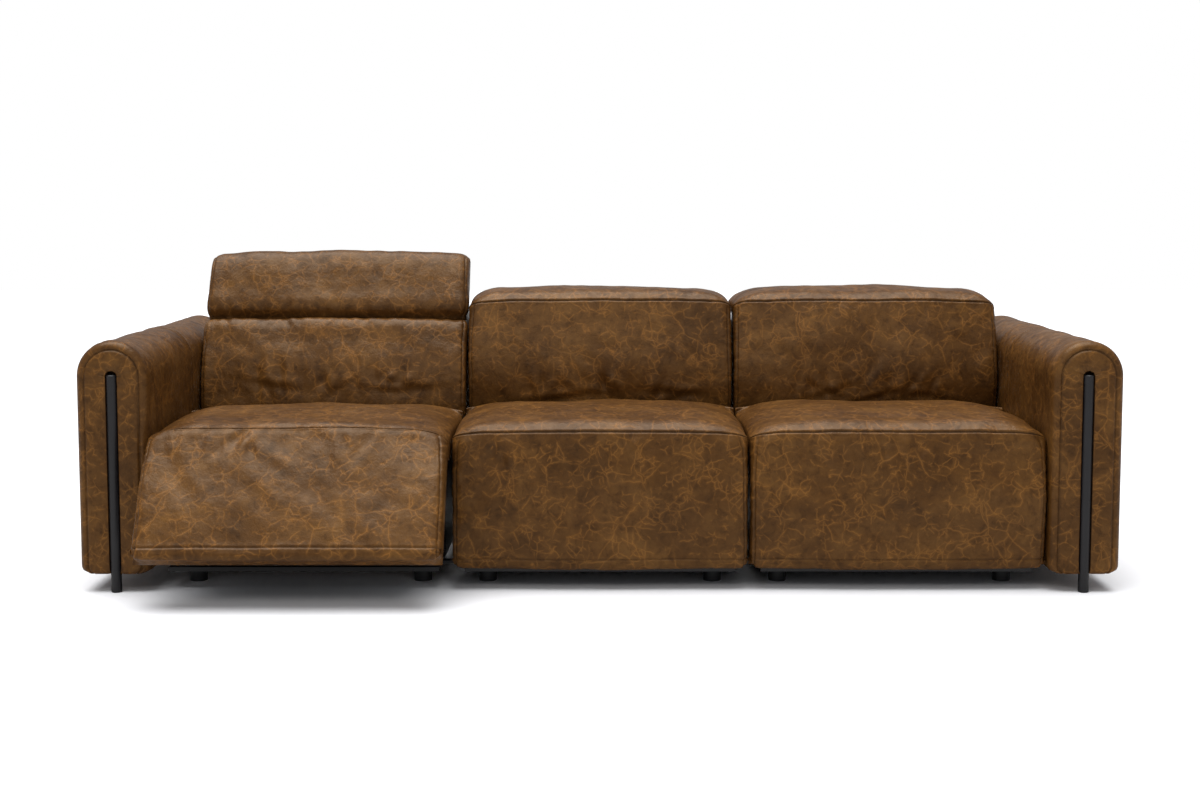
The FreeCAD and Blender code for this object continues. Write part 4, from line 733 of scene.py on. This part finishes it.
def arm_cover(prefix, x):
    """Arm: rings of points from the middle of its rear face forward into the rod's groove."""
    outline = np.vstack([
        [[ARM_HALF, ARM_LOW], [ARM_HALF, ARM_SPRING - 4]],
        arc((0, ARM_SPRING), ARM_HALF, 0, 180),
        [[-ARM_HALF, ARM_SPRING - 4], [-ARM_HALF, ARM_LOW]],
    ])[::-1]
    places = spots(lengths(outline)[-1], 8)
    at, normal = along(outline, places)
    height = np.clip(at[:, 1], ARM_LOW, ARM_SPRING)
    spine = np.stack([np.zeros(len(at)), height], 1)
    seed = {"left": 101, "right": 131}[prefix]
    rings = []

    def ring(depth, inset, seam_and_shade=0.0):
        rings.append((np.full(len(at), depth), at - normal * np.reshape(inset, (-1, 1)), seam_and_shade))

    steps = np.radians(np.linspace(0, 90, 7))
    for share in REAR_RINGS:
        point = spine * (1 - share) + (at - normal * ARM_EDGE) * share
        rings.append((np.full(len(at), ARM_DEEP), point, 0))
    for a in steps:
        ring(ARM_DEEP - ARM_EDGE * (1 - math.cos(a)), ARM_EDGE * (1 - math.sin(a)))
    even = np.arange(ARM_DEEP - ARM_EDGE - 10, ARM_EDGE + 2, -9.0)
    depths = np.concatenate([even, ARM_CROSS + np.array(CROSS_NEAR)])
    # Even rings between 8.5 and 11 mm from the seam would crowd its outermost ones
    gap = np.abs(depths - ARM_CROSS)
    depths = np.sort(depths[(gap < 8.5) | (gap > 11)])[::-1]
    for depth in depths:
        bump = 0.9 * field(places, depth, 220, seed) + 0.25 * field(places, depth, 60, seed + 1)
        bump = bump + seam(depth - ARM_CROSS, 2.6, 1.4)
        bump = bump + 1.8 * creases(places, depth, 40, seed + 2, 3.0) * fade(depth - ARM_EDGE, 60)
        bump = np.minimum(bump, np.where(at[:, 1] > ARM_SPRING, 3.0, 0.4))
        ring(depth, -bump, 0.8 * line(depth - ARM_CROSS, 3))
    for a in np.radians(np.linspace(10, 78, 6)):
        ring(ARM_EDGE * (1 - math.sin(a)), ARM_EDGE * (1 - math.cos(a)))
    # The front face, from the arch seam in to the groove's edge
    groove_edge = math.sqrt(GROOVE**2 - ROD_AXIS**2)
    direction = at - spine
    size = np.maximum(np.linalg.norm(direction, axis=1, keepdims=True), 1e-6)
    direction = direction / size
    above = at[:, 1] > ARM_SPRING - 30
    rim = spine + direction * groove_edge
    seam_at = at - normal * (ARM_EDGE - 1)
    for share in FACE_RINGS:
        point = seam_at * (1 - share) + rim * share
        distance = np.linalg.norm(seam_at - point, axis=1)
        inward = np.linalg.norm(point - rim, axis=1)
        puff = 4.0 * np.sin(math.pi * min(share * 1.02, 1)) ** 0.7
        pleat = 3.4 * creases(places, distance, 20, seed + 5, 5.0) * fade(inward, 30)
        pleat = pleat * np.where(above, 1.4, 0.3)
        v = -puff - seam(distance - 3, 4.0, 1.0) - pleat + 1.0
        # The ring at the groove's rim is painted fully dark as shade at the recess's edge; the others
        # carry the arch seam's dark line
        rings.append((v, point, 0.5 * line(distance - 3, 2.6) + (share == 1.0)))
    # The groove's wall, from the rim in to its back, its colour painted dark all over as shade in the
    # recess
    for degrees in (10, 40, 65, 90):
        a = math.radians(degrees)
        depth = ROD_AXIS + GROOVE * (1.5 * math.sin(a) - 0.5)
        wide = groove_edge * (0.5 + 0.5 * math.cos(a)) if degrees < 90 else 0.0
        rings.append((np.full(len(at), depth), spine + direction * wide, 1))
    grid = np.stack([np.stack([p[:, 0], v, p[:, 1]], 1) for v, p, _ in rings], 0)
    lower = np.clip((ARM_LOW + ARM_EDGE - grid[..., 2]) / ARM_EDGE, 0, 1)
    grid[..., 0] *= 1 - ARM_EDGE / ARM_HALF * (1 - np.sqrt(1 - lower**2))
    rows, columns = grid.shape[:2]
    low = [r * columns for r in range(rows)] + [r * columns + columns - 1 for r in reversed(range(rows))]
    dark = np.stack([np.broadcast_to(seam_and_shade, places.shape) for _, _, seam_and_shade in rings], 0)
    return mesh_piece(f"{prefix}_arm_leather", row_frame(grid, x), dark, LEATHER, [low], ring=False)


for prefix, sign in (("left", -1), ("right", 1)):
    piece = arm_cover(prefix, ARM_MIDDLE * sign)
    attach(piece, "sofa")
    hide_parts(f"{prefix}_arm_cover")


# Rear shells and panels


def softened(name, node, body, width):
    """A copy of an upholstered solid with its edges rounded."""
    source = frame["nodes"][node]
    piece = bpy.data.objects.new(name, source.data.copy())
    bpy.context.scene.collection.objects.link(piece)
    bm = bmesh.new()
    bm.from_mesh(piece.data)
    bmesh.ops.remove_doubles(bm, verts=bm.verts, dist=0.0001)
    bmesh.ops.dissolve_limit(bm, angle_limit=math.radians(2), verts=bm.verts, edges=bm.edges)
    sharp = [e for e in bm.edges if len(e.link_faces) == 2 and e.calc_face_angle(0) > math.radians(25)]
    bmesh.ops.bevel(bm, geom=sharp, offset=width, segments=3, profile=0.5, affect="EDGES",
                    clamp_overlap=True)
    bm.to_mesh(piece.data)
    bm.free()
    for polygon in piece.data.polygons:
        polygon.use_smooth = True
    piece.data.materials.clear()
    piece.data.materials.append(LEATHER)
    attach(piece, body)
    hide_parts(node)


softened("rear_panels_leather", "rear_panels", "sofa", 6 * MM)
for prefix in ("left", "middle", "right"):
    body = "sofa" if prefix == "middle" else f"{prefix}_back"
    softened(f"{prefix}_shell_leather", f"{prefix}_back_shell", body, 2.5 * MM)


# Materials of the solids


SLOT_MATERIALS = {"leather": LEATHER, "black_metal": BLACK, "bare_steel": STEEL, "timber": TIMBER,
                  "black_plastic": PLASTIC}
for part in frame["record"]["subparts"]:
    solid = frame["nodes"][part["node"]]
    solid.data.materials.clear()
    solid.data.materials.append(SLOT_MATERIALS[part["material_slot"]])


# Floor, light and camera


FLOOR_REACH = 14.0  # metres from the middle to each edge
FLOOR_SEEN = (0.96, 0.96, 0.98, 1)
FLOOR_LIT = (0.54, 0.53, 0.52, 1)  # what the floor throws back onto the sofa
AIR = (0.93, 0.96, 1.0, 1)
AIR_POWER = 0.36
SUN_POWER = 3.6
SUN_WIDTH = 58.0  # degrees across, so that its shadows are soft
SUN_TILT = (1.0, -5.0)  # degrees about the width and the depth
EYE = (0, -4.577, 0.999)  # metres
LOOKS_DOWN = 5.0  # degrees
LENS = 49.9
FILM_SHIFT = -0.0444


def stage():
    """A pale floor."""
    far = FLOOR_REACH
    mesh = bpy.data.meshes.new("floor")
    corners = [(-far, -far, 0), (far, -far, 0), (far, far, 0), (-far, far, 0)]
    mesh.from_pydata(corners, [], [(0, 1, 2, 3)])
    floor = bpy.data.objects.new("floor", mesh)
    bpy.context.scene.collection.objects.link(floor)
    material, nodes, links, base = shader("floor_pale", 0.9)
    seen = nodes.new("ShaderNodeLightPath").outputs["Is Camera Ray"]
    tone = blend_node(nodes, links, seen, FLOOR_LIT, FLOOR_SEEN)
    links.new(tone, base.inputs["Base Color"])
    base.inputs["Specular IOR Level"].default_value = 0.1
    mesh.materials.append(material)


def area(name, place, target, size, power, colour):
    """A soft rectangular light that faces its target."""
    light = bpy.data.lights.new(name, "AREA")
    light.shape = "RECTANGLE"
    light.size, light.size_y = size
    light.energy = power
    light.color = colour
    lamp = bpy.data.objects.new(name, light)
    lamp.location = place
    lamp.rotation_euler = (Vector(target) - Vector(place)).to_track_quat("-Z", "Y").to_euler()
    bpy.context.scene.collection.objects.link(lamp)


def overhead():
    """A wide even light from above."""
    light = bpy.data.lights.new("overhead", "SUN")
    light.energy = SUN_POWER
    light.angle = math.radians(SUN_WIDTH)
    lamp = bpy.data.objects.new("overhead", light)
    lamp.rotation_euler = (math.radians(SUN_TILT[0]), math.radians(SUN_TILT[1]), 0)
    bpy.context.scene.collection.objects.link(lamp)


def world():
    """Faint light from all round, with a white background."""
    scene = bpy.context.scene
    scene.world = bpy.data.worlds.new("studio")
    scene.world.use_nodes = True
    nodes, links = scene.world.node_tree.nodes, scene.world.node_tree.links
    light = nodes["Background"]
    light.inputs[0].default_value = AIR
    light.inputs[1].default_value = AIR_POWER
    white = nodes.new("ShaderNodeBackground")
    white.inputs[0].default_value = (1, 1, 1, 1)
    white.inputs[1].default_value = 1.0
    path = nodes.new("ShaderNodeLightPath")
    mix = nodes.new("ShaderNodeMixShader")
    links.new(path.outputs["Is Camera Ray"], mix.inputs[0])
    links.new(light.outputs[0], mix.inputs[1])
    links.new(white.outputs[0], mix.inputs[2])
    links.new(mix.outputs[0], nodes["World Output"].inputs[0])
    scene.view_settings.view_transform = "Standard"


def camera():
    """The photograph's viewpoint."""
    data = bpy.data.cameras.new("camera")
    data.lens = LENS
    data.sensor_width = 36
    data.shift_y = FILM_SHIFT
    view = bpy.data.objects.new("camera", data)
    view.location = EYE
    view.rotation_euler = (math.radians(90 - LOOKS_DOWN), 0, 0)
    bpy.context.scene.collection.objects.link(view)
    bpy.context.scene.camera = view


stage()
world()
camera()
overhead()
area("front", (-0.4, -3.6, 2.7), (0, 0.2, 0.3), (4.5, 1.0), 26, (1, 0.97, 0.93))
